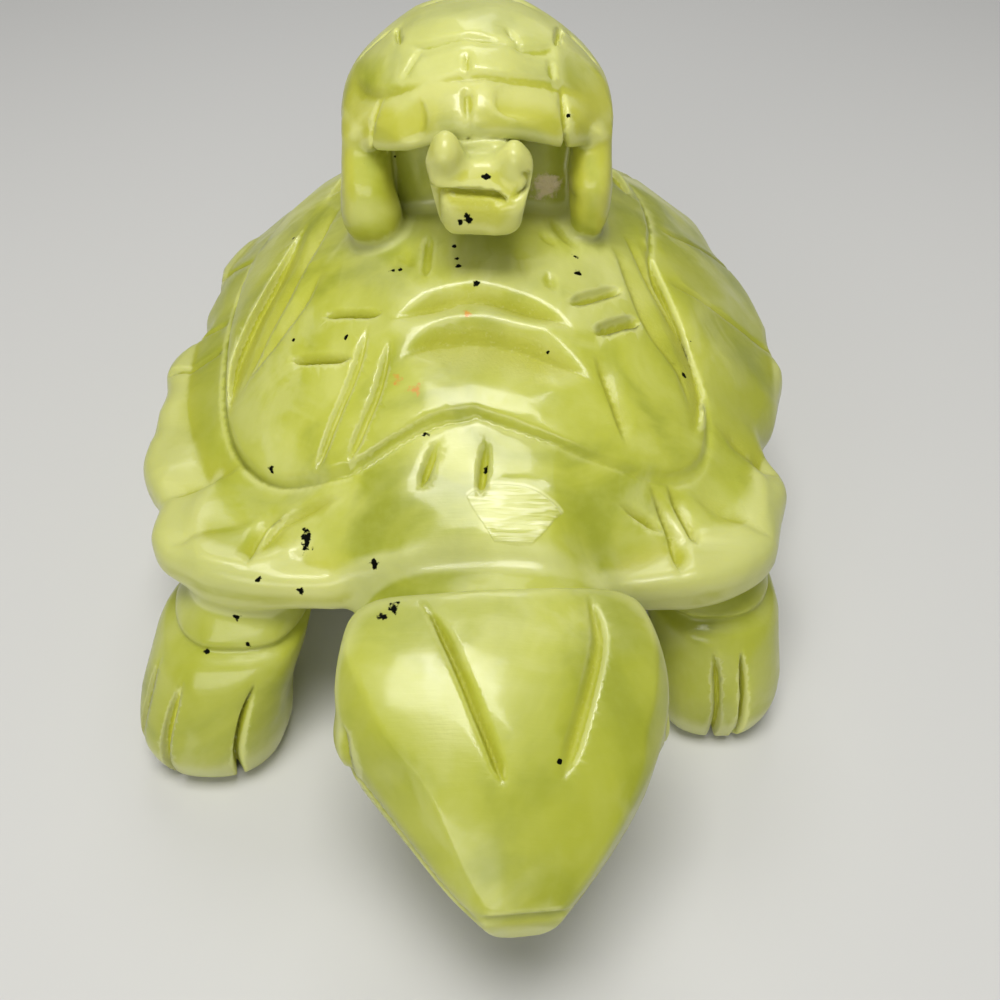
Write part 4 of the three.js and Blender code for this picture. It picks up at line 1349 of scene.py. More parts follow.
@dataclass(frozen=True)
class SkinFinder:
    """Finds the skin of the carving on a grid, with one vertex to each cell that the skin passes through.

    The vertex is where the tangent planes at the cell's crossed edges meet best, which keeps a knife's
    edges crisp. Coarse cells are worked out first, and only those on the skin and their neighbours are
    halved.
    """

    carving: Carving
    cell: float = 0.42
    halvings: int = 2
    pull: float = 0.06
    probe: float = 0.12

    def grid_at(self, size: float) -> Array:
        """How many cells of that size the block has along x, y and z."""
        coarse = self.cell * 2**self.halvings
        span = np.array(self.carving.high) - np.array(self.carving.low)
        return (np.ceil(span / coarse) * round(coarse / size)).astype(int)

    def values_on(self, cells: Array, size: float) -> Array:
        """The field at all corners of the cells, in a dense grid that is empty (nan) elsewhere."""
        known = np.zeros(self.grid_at(size) + 1, bool)
        corners = around(cells, CORNERS)
        known[tuple(corners.T)] = True
        values = np.full(known.shape, np.nan, np.float32)
        values[known] = in_threads(self.carving.field, self.carving.low + np.argwhere(known) * size)
        return values

    def coarse_cells(self) -> Array:
        """All coarse cells whose middle is closer to the plain skin than their size and the deepest cut."""
        size = self.cell * 2**self.halvings
        cells = np.argwhere(np.ones(self.grid_at(size), bool))
        middles = self.carving.low + (cells + 0.5) * size
        values = in_threads(self.carving.plain_field, middles)
        return cells[np.abs(values) < 1.25 * size + DEEPEST_CUT_MM]

    def halved(self, cells: Array, size: float) -> Array:
        """The halved cells of those that the skin passes through and of their neighbours."""
        values = self.values_on(cells, size)
        shape = np.array(values.shape) - 1
        inside = values < 0
        outside = values > 0
        any_inside = np.zeros(shape, bool)
        any_outside = np.zeros(shape, bool)
        for i, j, k in CORNERS:
            block = np.s_[i : i + shape[0], j : j + shape[1], k : k + shape[2]]
            any_inside |= inside[block]
            any_outside |= outside[block]
        on_skin = any_inside & any_outside
        for axis in range(3):
            spread = np.moveaxis(on_skin, axis, 0)
            before, after = spread[1:].copy(), spread[:-1].copy()
            spread[:-1] |= before
            spread[1:] |= after
        return around(np.argwhere(on_skin) * 2, CORNERS)

    def crossings(self, values: Array) -> list[Crossings]:
        """The crossed edges along each axis, with the crossing placed by straight interpolation."""
        found = []
        for axis in range(3):
            start = tuple(slice(0, -1) if k == axis else slice(None) for k in range(3))
            end = tuple(slice(1, None) if k == axis else slice(None) for k in range(3))
            here, there = values[start], values[end]
            crossed = ((here < 0) & (there >= 0)) | ((here >= 0) & (there < 0))
            cells = np.argwhere(crossed)
            a, b = here[crossed].astype(float), there[crossed].astype(float)
            points = self.carving.low + cells * self.cell
            points[:, axis] += a / (a - b) * self.cell
            normals = in_threads(lambda p: self.carving.normal(p, self.probe), points)
            found.append(Crossings(axis, cells, points, normals, a < 0))
        return found

    def find(self) -> tuple[Array, Array, Array]:
        """The skin as vertices and quads.

        In a cell with crossings p_i and normals n_i the vertex v makes sum((n_i . (v - p_i))^2) + pull |v -
        mean|^2 least, which is a set of three linear equations, solved for all cells at once.

        Returns:
            Vertices in millimetres in the carving frame, quads that face outwards, and for each vertex how
            far the normals in its cell differ: 1 minus the length of their mean.
        """
        cells = self.coarse_cells()
        for step in range(self.halvings, 0, -1):
            cells = self.halved(cells, self.cell * 2**step)
        values = self.values_on(cells, self.cell)
        found = self.crossings(values)

        used = np.zeros(values.shape, bool)
        for edges in found:
            for du, dv in SIDES:
                used[tuple(edges.beside(du, dv).T)] = True
        ids = np.full(values.shape, -1, np.int32)
        count = int(used.sum())
        ids[used] = np.arange(count, dtype=np.int32)

        tally = np.zeros(count)
        middle, target, facing = np.zeros((count, 3)), np.zeros((count, 3)), np.zeros((count, 3))
        square = np.zeros((count, 3, 3))
        quads = []
        for edges in found:
            n, p = edges.normals, edges.points
            plane = (n * p).sum(1)
            owners = [ids[tuple(edges.beside(du, dv).T)] for du, dv in SIDES]
            for owner in owners:
                tally += np.bincount(owner, minlength=count)
                for i in range(3):
                    middle[:, i] += np.bincount(owner, p[:, i], minlength=count)
                    target[:, i] += np.bincount(owner, n[:, i] * plane, minlength=count)
                    facing[:, i] += np.bincount(owner, n[:, i], minlength=count)
                    for j in range(3):
                        square[:, i, j] += np.bincount(owner, n[:, i] * n[:, j], minlength=count)
            quad = np.stack(owners, -1)
            forward = edges.inside_first ^ (edges.axis == 1)
            quads.append(np.where(forward[:, None], quad, quad[:, ::-1]))
        middle /= tally[:, None]
        rest = target - np.einsum("nij,nj->ni", square, middle)
        square += self.pull * tally[:, None, None] * np.eye(3)
        vertices = middle + np.linalg.solve(square, rest[..., None])[..., 0]
        corner = self.carving.low + np.argwhere(used) * self.cell
        room = 0.2 * self.cell
        bend = 1.0 - np.linalg.norm(facing, axis=1) / tally
        return np.clip(vertices, corner - room, corner + self.cell + room), np.concatenate(quads), bend


@dataclass(frozen=True)
class SkinDetail:
    """What the finish needs to know of the skin at each vertex: its normal, and four measures from 0 to 1."""

    normals: Array
    cut: Array
    hollow: Array
    thin: Array
    edge: Array

    @classmethod
    def of(cls, carving: Carving, p: Array) -> SkinDetail:
        """Measures the skin.

        cut is the depth taken by the knife over 1.2 mm. hollow is how much of the 3 mm above the skin is
        closed in by other stone, 1 - F(p + 3 n) / 3, and thin how much of the 6 mm below it is missing, 1 +
        F(p - 6 n) / 6. edge is the same for the 1 mm below it, which is 0.3 at a square edge.

        Args:
            carving: The carving.
            p: Points on its skin, n by 3.

        Returns:
            The measures at each point.
        """
        normals = in_threads(lambda q: carving.normal(q, 0.25), p)
        plain = in_threads(lambda q: carving.normal(q, 1.2), p)
        above, below, just_below, full_cut = 3.0, 6.0, 1.0, 1.2
        hollow = 1.0 - in_threads(carving.field, p + above * plain) / above
        thin = 1.0 + in_threads(carving.plain_field, p - below * plain) / below
        edge = 1.0 + in_threads(carving.field, p - just_below * normals) / just_below
        cut = in_threads(carving.cut_depth, p) / full_cut
        return cls(normals, *(np.clip(measure, 0.0, 1.0) for measure in (cut, hollow, thin, edge)))


def mesh_from(name: str, vertices: Array, faces: Array) -> bpy.types.Mesh:
    """A mesh of quads or triangles.

    Args:
        name: The mesh's name.
        vertices: Places in metres, n by 3.
        faces: Vertex indices, m by 3 or m by 4.

    Returns:
        The mesh, shaded smooth.
    """
    mesh = bpy.data.meshes.new(name)
    count, sides = faces.shape
    mesh.vertices.add(len(vertices))
    mesh.vertices.foreach_set("co", vertices.astype(np.float32).ravel())
    mesh.loops.add(count * sides)
    mesh.loops.foreach_set("vertex_index", faces.astype(np.int32).ravel())
    mesh.polygons.add(count)
    mesh.polygons.foreach_set("loop_start", np.arange(0, count * sides, sides, dtype=np.int32))
    mesh.polygons.foreach_set("loop_total", np.full(count, sides, np.int32))
    mesh.update(calc_edges=True)
    mesh.shade_smooth()
    return mesh


def evened(mesh: bpy.types.Mesh, values: Array) -> Array:
    """Values at a mesh's vertices, drawn towards the neighbours': half own, half the neighbours' mean.

    In the mean a neighbour at distance d weighs 1 / d.

    Args:
        mesh: The mesh.
        values: Values at its vertices, n by k.

    Returns:
        The evened values, n by k.
    """
    count, ends = len(mesh.vertices), np.empty(len(mesh.edges) * 2, np.int32)
    places = np.empty(count * 3, np.float32)
    mesh.edges.foreach_get("vertices", ends)
    mesh.vertices.foreach_get("co", places)
    ends, places = ends.reshape(-1, 2), places.reshape(-1, 3)
    weights = 1.0 / np.maximum(np.linalg.norm(places[ends[:, 0]] - places[ends[:, 1]], axis=1), 1e-6)
    near, far = np.concatenate([ends, ends[:, ::-1]]).T
    weights = np.concatenate([weights, weights])
    whole = np.bincount(near, weights, count)
    sums = [np.bincount(near, weights * column[far], count) for column in values.T]
    return 0.5 * values + 0.5 * np.stack(sums, 1) / np.maximum(whole, 1e-9)[:, None]


def thinned(obj: bpy.types.Object, triangles: int, crisp: Array) -> None:
    """Collapses edges until the mesh has at most that many triangles, the flattest places first.

    Args:
        obj: The object.
        triangles: How many triangles may stay.
        crisp: True for the vertices that are kept as they are.
    """
    kept = obj.vertex_groups.new(name="crisp")
    kept.add(np.flatnonzero(crisp).tolist(), 1.0, "REPLACE")
    share = triangles / sum(len(face.vertices) - 2 for face in obj.data.polygons)
    if share >= 1.0:
        return
    modifier = obj.modifiers.new("fewer_faces", "DECIMATE")
    modifier.ratio = share
    modifier.use_collapse_triangulate = True
    modifier.vertex_group = kept.name
    modifier.invert_vertex_group = True
    modifier.vertex_group_factor = 1.0
    settled = obj.evaluated_get(bpy.context.evaluated_depsgraph_get())
    mesh = bpy.data.meshes.new_from_object(settled)
    obj.modifiers.clear()
    obj.vertex_groups.clear()
    old = obj.data
    obj.data = mesh
    bpy.data.meshes.remove(old)


Number = Union[float, int]


class Tree:
    """A material's node tree, with one method that adds any node."""

    def __init__(self, material: bpy.types.Material) -> None:
        """Empties the material's tree and takes it over."""
        material.use_nodes = True
        self.tree = material.node_tree
        self.tree.nodes.clear()

    def node(
        self,
        kind: str,
        settings: Optional[dict[str, object]] = None,
        inputs: Optional[dict[Union[str, int], object]] = None,
        output: Union[str, int] = 0,
        stops: Optional[Sequence[tuple[float, Sequence[float]]]] = None,
    ) -> Value:
        """Adds a node.

        Args:
            kind: The node's type, without its ShaderNode start.
            settings: Properties of the node, which are set first.
            inputs: Values or links of its sockets, by name or number.
            output: Which output is returned.
            stops: Places and colours, for a colour ramp.

        Returns:
            The chosen output as a value, which is empty for the material's own output.
        """
        node = self.tree.nodes.new("ShaderNode" + kind)
        for name, setting in (settings or {}).items():
            setattr(node, name, setting)
        if stops:
            elements = node.color_ramp.elements
            while len(elements) < len(stops):
                elements.new(1.0)
            for element, (place, colour) in zip(elements, stops):
                element.position = place
                element.color = (*colour, 1.0) if len(colour) == 3 else colour
        for name, given in (inputs or {}).items():
            self.feed(node.inputs[name], given)
        return Value(self, node.outputs[output] if len(node.outputs) else None)

    def feed(self, socket: bpy.types.NodeSocket, given: object) -> None:
        """Links a value to a socket, or sets the socket to a plain number, colour or vector."""
        if isinstance(given, Value):
            self.tree.links.new(given.socket, socket)
        elif isinstance(given, (tuple, list)) and socket.type == "RGBA" and len(given) == 3:
            socket.default_value = (*given, 1.0)
        else:
            socket.default_value = given

    def mix(self, factor: Union[Value, Number], a: object, b: object, blend: str = "MIX") -> Value:
        """Colour a turned into colour b by the factor."""
        settings = {"data_type": "RGBA", "blend_type": blend, "clamp_factor": True}
        return self.node("Mix", settings, {0: factor, 6: a, 7: b}, 2)

    def ramp(self, value: Value, low: float, high: float, smooth: bool = True) -> Value:
        """0 where the value is under low, 1 where it is over high. low may be the greater of the two."""
        kind = "SMOOTHSTEP" if smooth else "LINEAR"
        if low < high:
            return self.node("MapRange", {"interpolation_type": kind}, {0: value, 1: low, 2: high})
        return 1.0 - self.node("MapRange", {"interpolation_type": kind}, {0: value, 1: high, 2: low})


class Value:
    """A number, colour or vector in a shader. Python's operators on it add Math nodes."""

    def __init__(self, tree: Tree, socket: Optional[bpy.types.NodeSocket]) -> None:
        """Wraps an output socket."""
        self.tree = tree
        self.socket = socket

    def maths(self, operation: str, *others: Union[Value, Number]) -> Value:
        """A Math node on this value and the others."""
        return self.tree.node("Math", {"operation": operation}, dict(enumerate((self, *others))))

    def __add__(self, other: Union[Value, Number]) -> Value:
        """self + other."""
        return self.maths("ADD", other)

    __radd__ = __add__

    def __mul__(self, other: Union[Value, Number]) -> Value:
        """self * other."""
        return self.maths("MULTIPLY", other)

    __rmul__ = __mul__

    def __sub__(self, other: Union[Value, Number]) -> Value:
        """self - other."""
        return self.maths("SUBTRACT", other)

    def __rsub__(self, other: Number) -> Value:
        """other - self."""
        return self.tree.node("Math", {"operation": "SUBTRACT"}, {0: other, 1: self})

    def __pow__(self, power: Number) -> Value:
        """self to a power."""
        return self.maths("POWER", power)

    def least(self, other: Union[Value, Number]) -> Value:
        """The smaller of two."""
        return self.maths("MINIMUM", other)

    def most(self, other: Union[Value, Number]) -> Value:
        """The larger of two."""
        return self.maths("MAXIMUM", other)


Colour = tuple[float, float, float]


@dataclass(frozen=True)
class Speck:
    """A mineral speck on the skin: its place in the carving frame, its radius and how tall it is for it."""

    at: tuple[float, float, float]
    radius: float
    rusty: bool = False
    tall: float = 1.0


# The larger mineral specks, each on the skin near its place
SPECKS: tuple[Speck, ...] = (
    Speck((-23.1, -50.4, 37.4), 0.80, tall=2.2),
    Speck((-13.7, -55.4, 37.7), 0.66),
    Speck((-12.4, -18.0, 58.0), 0.41),
    Speck((-11.2, -18.2, 58.2), 0.49),
    Speck((-3.6, -14.8, 60.1), 0.41),
    Speck((-3.3, -17.4, 59.5), 0.41),
    Speck((-3.0, -18.8, 59.1), 0.41),
    Speck((-1.5, -24.2, 68.6), 0.74),
    Speck((-2.3, -24.2, 68.2), 0.49),
    Speck((1.0, -21.7, 74.0), 0.49),
    Speck((13.5, -15.0, 58.4), 0.49),
    Speck((13.9, -18.1, 57.6), 0.57),
    Speck((29.8, -26.7, 46.6), 0.66),
    Speck((-0.4, -22.1, 58.2), 0.49),
    Speck((-7.7, -41.1, 48.0), 0.57),
    Speck((-28.7, -40.5, 39.8), 0.57),
    Speck((-18.5, -27.1, 52.9), 0.49),
    Speck((-9.2, -69.2, 45.2), 0.74),
    Speck((-10.5, -70.3, 44.9), 0.66),
    Speck((-32.7, -55.9, 27.0), 0.57),
    Speck((-31.5, -57.6, 23.7), 0.49),
    Speck((-37.4, -57.4, 22.2), 0.41),
    Speck((-28.7, -55.8, 35.0), 0.49),
    Speck((-23.3, -56.6, 33.5), 0.66),
    Speck((11.8, -12.1, 77.7), 0.41),
    Speck((0.8, -45.0, 44.8), 0.49),
    Speck((-11.0, -34.7, 51.5), 0.82, True),
    Speck((-8.5, -36.2, 51.0), 0.98, True),
    Speck((-1.7, -26.5, 56.5), 0.66, True),
)


@dataclass(frozen=True)
class SkinValues:
    """What the jade's material starts from: the place in millimetres and the skin's four measures."""

    tree: Tree
    place: Value
    cut: Value
    hollow: Value
    thin: Value
    edge: Value

    @classmethod
    def of(cls, tree: Tree) -> SkinValues:
        """Adds the nodes that read them."""
        metres = tree.node("TexCoord", output="Object")
        place = tree.node("VectorMath", {"operation": "MULTIPLY"}, {0: metres, 1: (1.0 / MM,) * 3})
        measures = (tree.node("Attribute", {"attribute_name": name}, output="Fac") for name in MEASURES)
        return cls(tree, place, *measures)

    def near(self, middle: Sequence[float], radii: Sequence[float]) -> Value:
        """How far a point is from a middle in the carving frame, over the radii: 1 on the ellipsoid."""
        shifted = tuple(np.array(middle) + CARVING_SHIFT_MM)
        stretch = tuple(1.0 / radius for radius in radii)
        away = self.tree.node("VectorMath", {"operation": "SUBTRACT"}, {0: self.place, 1: shifted})
        away = self.tree.node("VectorMath", {"operation": "MULTIPLY"}, {0: away, 1: stretch})
        return self.tree.node("VectorMath", {"operation": "LENGTH"}, {0: away}, 1)

    def along(self, axis: int) -> Value:
        """One coordinate of the place: 0 across, 1 along, 2 up."""
        return self.tree.node("SeparateXYZ", None, {0: self.place}, axis)

    def drawn_out(self, scale: Sequence[float], turn: Sequence[float] = (0.0, 0.0, 0.0)) -> Value:
        """The place turned and scaled, for a pattern that runs one way."""
        return self.tree.node("Mapping", None, {"Vector": self.place, "Rotation": turn, "Scale": scale})

    def noise(
        self, size_mm: float, detail: float = 2.0, twist: float = 0.0, place: Optional[Value] = None
    ) -> Value:
        """Noise with blobs of about that size.

        Args:
            size_mm: Size of the blobs.
            detail: How many finer layers it has.
            twist: How far it is stirred.
            place: Where it is read, if not at the place itself.

        Returns:
            A number about 0.5.
        """
        at = self.place if place is None else place
        inputs = {"Vector": at, "Scale": 1.0 / size_mm, "Detail": detail, "Distortion": twist}
        return self.tree.node("TexNoise", {"noise_dimensions": "3D"}, inputs)


@dataclass(frozen=True)
class JadeFinish:
    """Yellow-green jade, polished on its high places, with cloudy veins, specks, matt, dusty cuts, painted
    shade in cuts and hollows and painted highlights along edges.
    """

    specks: tuple[Speck, ...]
    # The stone's deep cloud colour, also used for the painted shade in hollows
    deep: Colour = (0.31, 0.345, 0.022)
    body: Colour = (0.47, 0.50, 0.050)
    pale: Colour = (0.62, 0.645, 0.17)
    # Painted glow of light shining through thin stone
    lit_through: Colour = (0.64, 0.60, 0.070)
    # Pale veins, also used for dust, saw lines and the painted highlights along edges and the fan's rim
    vein_and_highlight: Colour = (0.75, 0.765, 0.40)
    # Painted shade: the deeper, more saturated colour of the cuts' walls and floors
    painted_cut_shade: Colour = (0.43, 0.43, 0.020)
    speck: Colour = (0.006, 0.007, 0.005)
    rust: Colour = (0.66, 0.24, 0.02)
    crust: Colour = (0.95, 0.78, 0.64)
    cloud_mm: float = 19.0
    vein_mm: float = 13.0
    vein_patch_mm: float = 17.0
    grain_mm: float = 1.6
    flour_mm: float = 0.55
    wear_mm: float = 5.0
    ragged_mm: float = 0.8
    pepper_scale: float = 0.28
    scatter_share: float = 0.35
    scatter_mm: float = 2.4
    # The sawn fan on the collar: where its sides meet, and how far it reaches
    fan_at: tuple[float, float] = (3.9, -56.9)
    fan_reach: float = 9.9
    saw_line_mm: float = 0.55
    # The chalky patch beside the young turtle's right foreleg
    crust_middle: tuple[float, float, float] = (10.6, -6.6, 63.8)
    crust_radii: tuple[float, float, float] = (4.0, 2.4, 2.8)
    # Deeper in colour towards the mother's skirt and the ground: from here outwards over these distances
    shell_middle: tuple[float, float, float] = (0.0, 4.0, 60.0)
    shell_reach: tuple[float, float, float] = (44.0, 100.0, 60.0)

    def stone(self, skin: SkinValues, grain: Value) -> Value:
        """The colour of the stone inside: clouds from deep to pale, veins and grain."""
        tree = skin.tree
        cloud = skin.noise(self.cloud_mm, 4.0, 0.9)
        body = tree.mix(tree.ramp(cloud, 0.30, 0.52), self.deep, self.body)
        body = tree.mix(tree.ramp(cloud, 0.48, 0.72) * 0.7, body, self.pale)
        ridge = (skin.noise(self.vein_mm, 4.0, 0.7) - 0.5).maths("ABSOLUTE")
        veins = tree.ramp(ridge, 0.11, 0.0) * tree.ramp(skin.noise(self.vein_patch_mm), 0.45, 0.65)
        body = tree.mix(veins * 0.24, body, self.vein_and_highlight)
        return tree.mix(tree.ramp(grain, 0.35, 0.75) * 0.10, body, self.pale)

    def carved(self, skin: SkinValues, body: Value) -> Value:
        """The stone's colour as its carved form changes it.

        It has a painted glow of light through it where thin, is deeper towards the skirt and the ground, has
        painted shade in hollows and cuts, carries dust in cuts and hollows, and has painted highlights at
        edges.

        Args:
            skin: The place and the skin's measures.
            body: The colour of the stone inside.

        Returns:
            The changed colour.
        """
        tree = skin.tree
        # Painted light: thin parts are made warmer and lighter, as if lit through
        body = tree.mix(tree.ramp(skin.thin, 0.25, 0.85) * 0.35, body, self.lit_through)
        outer = skin.near(self.shell_middle, self.shell_reach)
        # Darker towards the skirt and the ground
        body = tree.mix(tree.ramp(outer, 0.70, 1.05) * 0.42, body, self.deep)
        # Painted shade: hollows and recesses are darkened towards the deep colour
        body = tree.mix(tree.ramp(skin.hollow, 0.10, 0.65) * 0.60, body, self.deep)
        # Painted shade in the cuts
        body = tree.mix(skin.cut * 0.65, body, self.painted_cut_shade)
        # Painted highlight along crisp edges and crests
        body = tree.mix(tree.ramp(skin.edge, 0.02, 0.20) * 0.36, body, self.vein_and_highlight)
        flour = tree.ramp(skin.noise(self.flour_mm), 0.60, 0.72)
        dusty = (skin.cut * 0.6 + skin.hollow * 0.35).least(1.0)
        return tree.mix(flour * dusty * 0.18, body, self.vein_and_highlight)

    def spots(self, skin: SkinValues, ragged: Value, rusty: bool) -> Value:
        """1 on the specks of one kind. The dark ones have a sharper edge than the rusty ones."""
        whole_at = 0.1 if rusty else 0.55
        spots = []
        for speck in self.specks:
            if speck.rusty is rusty:
                high = speck.radius * speck.tall
                away = skin.near(speck.at, (speck.radius, high, high))
                spots.append(skin.tree.ramp(away + (ragged - 0.5) * 3.4, 0.95, whole_at))
        return reduce(Value.most, spots)

    def pepper(self, skin: SkinValues, ragged: Value) -> Value:
        """1 on tiny specks all over, at one in twenty of the cells of a cell pattern."""
        tree = skin.tree
        cells = {"Vector": skin.place, "Scale": self.pepper_scale, "Randomness": 1.0}
        away, lot = (tree.node("TexVoronoi", {"feature": "F1"}, cells, output) for output in (0, 1))
        chosen = tree.ramp(tree.node("SeparateColor", None, {0: lot}), 0.95, 0.955)
        return tree.ramp(away + (ragged - 0.5) * 0.20, 0.09, 0.06) * chosen

    def sawn_fan(self, skin: SkinValues, worn: Value) -> tuple[Value, Value]:
        """The fan that a saw left on top of the collar, with ragged sides that the wear gives.

        Args:
            skin: The place and the skin's measures.
            worn: The noise of the wear.

        Returns:
            1 on the fan, and 1 along its rim, where a highlight is painted.
        """
        tree = skin.tree
        fan_x, fan_y = (at + shift for at, shift in zip(self.fan_at, CARVING_SHIFT_MM))
        aside, ahead = skin.along(0) - fan_x, skin.along(1) - fan_y
        reach = (aside * aside + ahead * ahead) ** 0.5 + (worn - 0.5) * 0.9
        inside = ahead - aside.maths("ABSOLUTE") * 1.25 + aside * 0.27 + (worn - 0.5) * 2.0
        past_tip = tree.ramp(ahead + (worn - 0.5) * 2.0, 2.7, 3.3)
        fan = tree.ramp(inside, -0.2, 0.3) * past_tip * tree.ramp(skin.along(2), 36.0, 38.0)
        sawn = fan * tree.ramp(reach, self.fan_reach, self.fan_reach - 0.25)
        rim = fan * tree.ramp((reach - self.fan_reach).maths("ABSOLUTE"), 0.45, 0.1)
        return sawn, rim

    def material(self) -> bpy.types.Material:
        """Builds the material.

        Returns:
            The jade, for the whole carving.
        """
        made = bpy.data.materials.new("yellow_green_jade")
        tree = Tree(made)
        skin = SkinValues.of(tree)
        cut, hollow = skin.cut, skin.hollow
        grain = skin.noise(self.grain_mm, 3.0)
        worn = skin.noise(self.wear_mm, 4.0)
        ragged = skin.noise(self.ragged_mm, 3.0)

        body = self.carved(skin, self.stone(skin, grain))
        body = tree.mix(self.spots(skin, ragged, True) * 0.8, body, self.rust)
        dark = self.pepper(skin, ragged).most(self.spots(skin, ragged, False))
        body = tree.mix(dark, body, self.speck)
        crusted = skin.near(self.crust_middle, self.crust_radii) + (skin.noise(1.1, 3.0) - 0.5) * 0.9
        crusted = tree.ramp(crusted, 1.05, 0.75)
        body = tree.mix(crusted * 0.75, body, self.crust)
        sawn, rim = self.sawn_fan(skin, worn)
        lines = skin.noise(self.saw_line_mm, 1.0, place=skin.drawn_out((0.10, 1.0, 1.0)))
        body = tree.mix(sawn * (0.2 + tree.ramp(lines, 0.45, 0.65) * 0.6), body, self.vein_and_highlight)
        # Painted highlight: a pale line along the fan's rim
        body = tree.mix(rim * 0.5, body, self.vein_and_highlight)

        roughness = 0.37 + tree.ramp(worn, 0.35, 0.75) * 0.14 + cut * 0.2 + hollow * 0.16
        roughness = roughness + crusted * 0.3 + dark * 0.3
        coat = (0.4 - cut * 0.40 - hollow * 0.35 - crusted - dark).most(0.0)
        scratches = skin.noise(0.9, 3.0, place=skin.drawn_out((0.3, 3.0, 1.0), (0.3, 0.5, 0.9)))
        height = grain * 0.10 + worn * 0.22 + scratches * 0.06 + lines * sawn * 1.1
        height = height + skin.noise(0.5) * (cut * 0.5 + crusted * 1.6)
        bump = tree.node("Bump", None, {"Strength": 0.55, "Distance": 0.0004, "Height": height}, "Normal")

        shader = tree.node(
            "BsdfPrincipled",
            {"subsurface_method": "RANDOM_WALK"},
            {
                "Base Color": body,
                "Roughness": roughness,
                "Metallic": dark,
                "IOR": 1.58,
                "Specular IOR Level": 0.4,
                "Subsurface Weight": self.scatter_share,
                "Subsurface Radius": (1.0, 0.92, 0.30),
                "Subsurface Scale": self.scatter_mm * MM,
                "Coat Weight": coat,
                "Coat Roughness": 0.13,
                "Coat IOR": 1.5,
                "Normal": bump,
            },
        )
        tree.node("OutputMaterial", None, {"Surface": shader})
        return made


@dataclass(frozen=True)
class TurtlePiece:
    """The finished piece: the skin of the carving as one mesh, with its finish."""

    carving: Carving = field(default_factory=Carving)
    fine_cell: float = 0.38
    quick_cell: float = 0.84
    triangles: int = 192_000
    crisp_bend: float = 0.010
    sharp_bend: float = 0.045

    def build(self, box: tuple[Array, Array]) -> bpy.types.Object:
        """Makes the piece.

        Args:
            box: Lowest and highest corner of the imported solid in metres, which the mesh stays inside.

        Returns:
            The object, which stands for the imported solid.
        """
        finder = SkinFinder(self.carving, self.fine_cell)
        found, quads, bend = finder.find()
        crisp = bend > self.crisp_bend
        crisp[quads[(bend[quads] > self.sharp_bend).any(1)]] = True
        log.info("skin found with %d vertices, %d of them crisp", len(found), crisp.sum())
        low, high = (np.array(corner) for corner in box)
        vertices = np.clip((found + CARVING_SHIFT_MM) * MM, low, high)
        obj = bpy.data.objects.new("jade_turtle_carving", mesh_from("jade_turtle_carving", vertices, quads))
        bpy.context.scene.collection.objects.link(obj)
        thinned(obj, self.triangles, crisp)
        self.dress(obj)
        return obj

    def specks_on_skin(self) -> tuple[Speck, ...]:
        """The specks, each moved to the skin nearest to its place."""
        places = self.carving.on_skin(np.array([speck.at for speck in SPECKS]))
        return tuple(replace(speck, at=tuple(place)) for speck, place in zip(SPECKS, places))

    def dress(self, obj: bpy.types.Object) -> None:
        """Puts the skin's normals and measures and the jade on the mesh."""
        mesh = obj.data
        places = np.empty(len(mesh.vertices) * 3, np.float32)
        mesh.vertices.foreach_get("co", places)
        points = places.reshape(-1, 3).astype(float) / MM - CARVING_SHIFT_MM
        detail = SkinDetail.of(self.carving, points)
        measures = evened(mesh, np.stack([getattr(detail, name) for name in MEASURES], 1))
        for name, measure in zip(MEASURES, measures.T):
            attribute = mesh.attributes.new(name, "FLOAT", "POINT")
            attribute.data.foreach_set("value", measure.astype(np.float32))
        mesh.normals_split_custom_set_from_vertices(unit(evened(mesh, detail.normals)))
        mesh.materials.clear()
        mesh.materials.append(JadeFinish(self.specks_on_skin()).material())
        log.info("piece %s has %d vertices and %d faces", obj.name, len(mesh.vertices), len(mesh.polygons))


@dataclass(frozen=True)
class SoftLight:
    """A softbox: where its middle is, what it looks at, its size, power and colour."""

    name: str
    at: tuple[float, float, float]
    size: tuple[float, float]
    watts: float
    colour: Colour = (1.0, 1.0, 1.0)
    target: tuple[float, float, float] = (0.0, 0.0, 0.03)

    def build(self) -> None:
        """Adds the light to the scene."""
        data = bpy.data.lights.new(self.name, "AREA")
        data.shape = "RECTANGLE"
        data.size, data.size_y = self.size
        data.energy = self.watts
        data.color = self.colour
        light = bpy.data.objects.new(self.name, data)
        light.location = self.at
        light.rotation_euler = (Vector(self.target) - Vector(self.at)).to_track_quat("-Z", "Y").to_euler()
        bpy.context.scene.collection.objects.link(light)


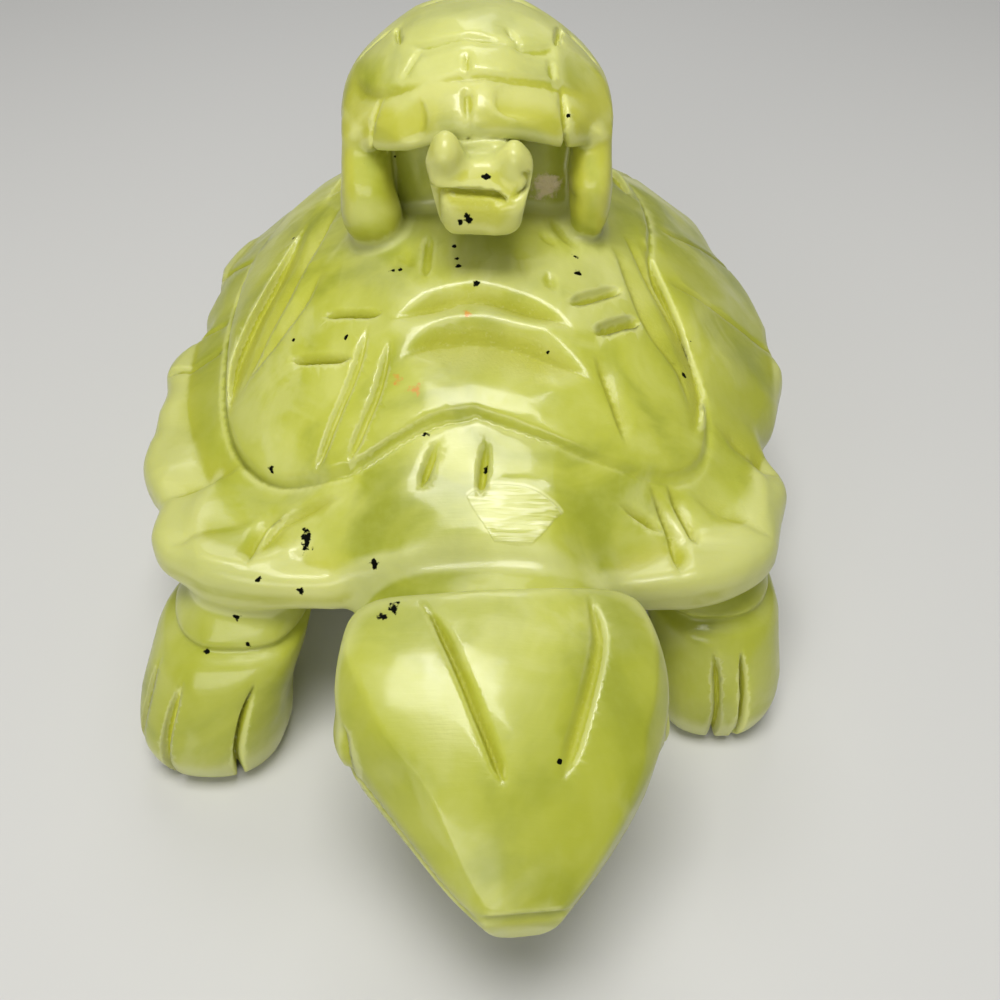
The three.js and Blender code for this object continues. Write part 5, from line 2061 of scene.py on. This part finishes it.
@dataclass(frozen=True)
class Studio:
    """The plain pale floor, the soft lights and the camera at the photograph's place."""

    camera_at_mm: tuple[float, float, float] = (2.8, -149.6, 140.0)
    pitched_down_degrees: float = 44.0
    focal_pixels: float = 1080.0
    image_pixels: float = 1000.0
    sensor_mm: float = 36.0
    floor_half_m: float = 1.6
    floor_colour: Colour = (0.62, 0.62, 0.61)
    surround_colour: Colour = (0.80, 0.82, 0.85)
    surround_strength: float = 0.13
    lights: tuple[SoftLight, ...] = (
        SoftLight("back_softbox", (0.0, 0.36, 0.53), (0.26, 0.20), 0.7, (1.0, 1.0, 0.99)),
        SoftLight("top_softbox", (-0.02, -0.15, 0.62), (0.30, 0.24), 3.0, (1.0, 0.985, 0.95)),
        SoftLight("front_softbox", (-0.15, -0.60, 0.28), (0.50, 0.20), 1.4, (1.0, 0.985, 0.95)),
        SoftLight("left_softbox", (-0.55, -0.05, 0.30), (0.30, 0.36), 0.1, (1.0, 0.98, 0.95)),
        SoftLight("right_softbox", (0.50, 0.02, 0.28), (0.30, 0.36), 0.1, (0.96, 0.98, 1.0)),
    )

    def floor(self) -> bpy.types.Object:
        """A flat square of pale matt card."""
        h = self.floor_half_m
        corners = np.array([[-h, -h, 0.0], [h, -h, 0.0], [h, h, 0.0], [-h, h, 0.0]])
        obj = bpy.data.objects.new("pale_floor", mesh_from("pale_floor", corners, np.array([[0, 1, 2, 3]])))
        made = bpy.data.materials.new("pale_card")
        tree = Tree(made)
        card = tree.node(
            "BsdfPrincipled",
            None,
            {"Base Color": self.floor_colour, "Roughness": 0.8, "Specular IOR Level": 0.2},
        )
        tree.node("OutputMaterial", None, {"Surface": card})
        obj.data.materials.append(made)
        bpy.context.scene.collection.objects.link(obj)
        return obj

    def camera(self) -> None:
        """A camera that looks along +Y, pitched down."""
        data = bpy.data.cameras.new("camera")
        data.sensor_width = self.sensor_mm
        data.lens = self.sensor_mm * self.focal_pixels / self.image_pixels
        data.clip_start = 0.005
        obj = bpy.data.objects.new("camera", data)
        obj.location = (np.array(self.camera_at_mm) + CARVING_SHIFT_MM) * MM
        obj.rotation_euler = (math.radians(90.0 - self.pitched_down_degrees), 0.0, 0.0)
        bpy.context.scene.collection.objects.link(obj)
        bpy.context.scene.camera = obj

    def world(self) -> None:
        """An even pale surround."""
        made = bpy.data.worlds.new("surround")
        made.use_nodes = True
        background = made.node_tree.nodes["Background"]
        background.inputs["Color"].default_value = (*self.surround_colour, 1.0)
        background.inputs["Strength"].default_value = self.surround_strength
        bpy.context.scene.world = made

    def build(self) -> None:
        """Sets up floor, lights, camera, surround and the view's tone."""
        self.floor()
        for light in self.lights:
            light.build()
        self.camera()
        self.world()
        bpy.context.scene.view_settings.view_transform = "Standard"


def main() -> None:
    """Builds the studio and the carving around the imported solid."""
    logging.basicConfig(level=logging.INFO, format="%(message)s")
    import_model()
    Studio().build()
    piece = TurtlePiece().build(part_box(NODE))
    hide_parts(NODE)
    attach(piece, "root")


if __name__ == "__main__":
    main()
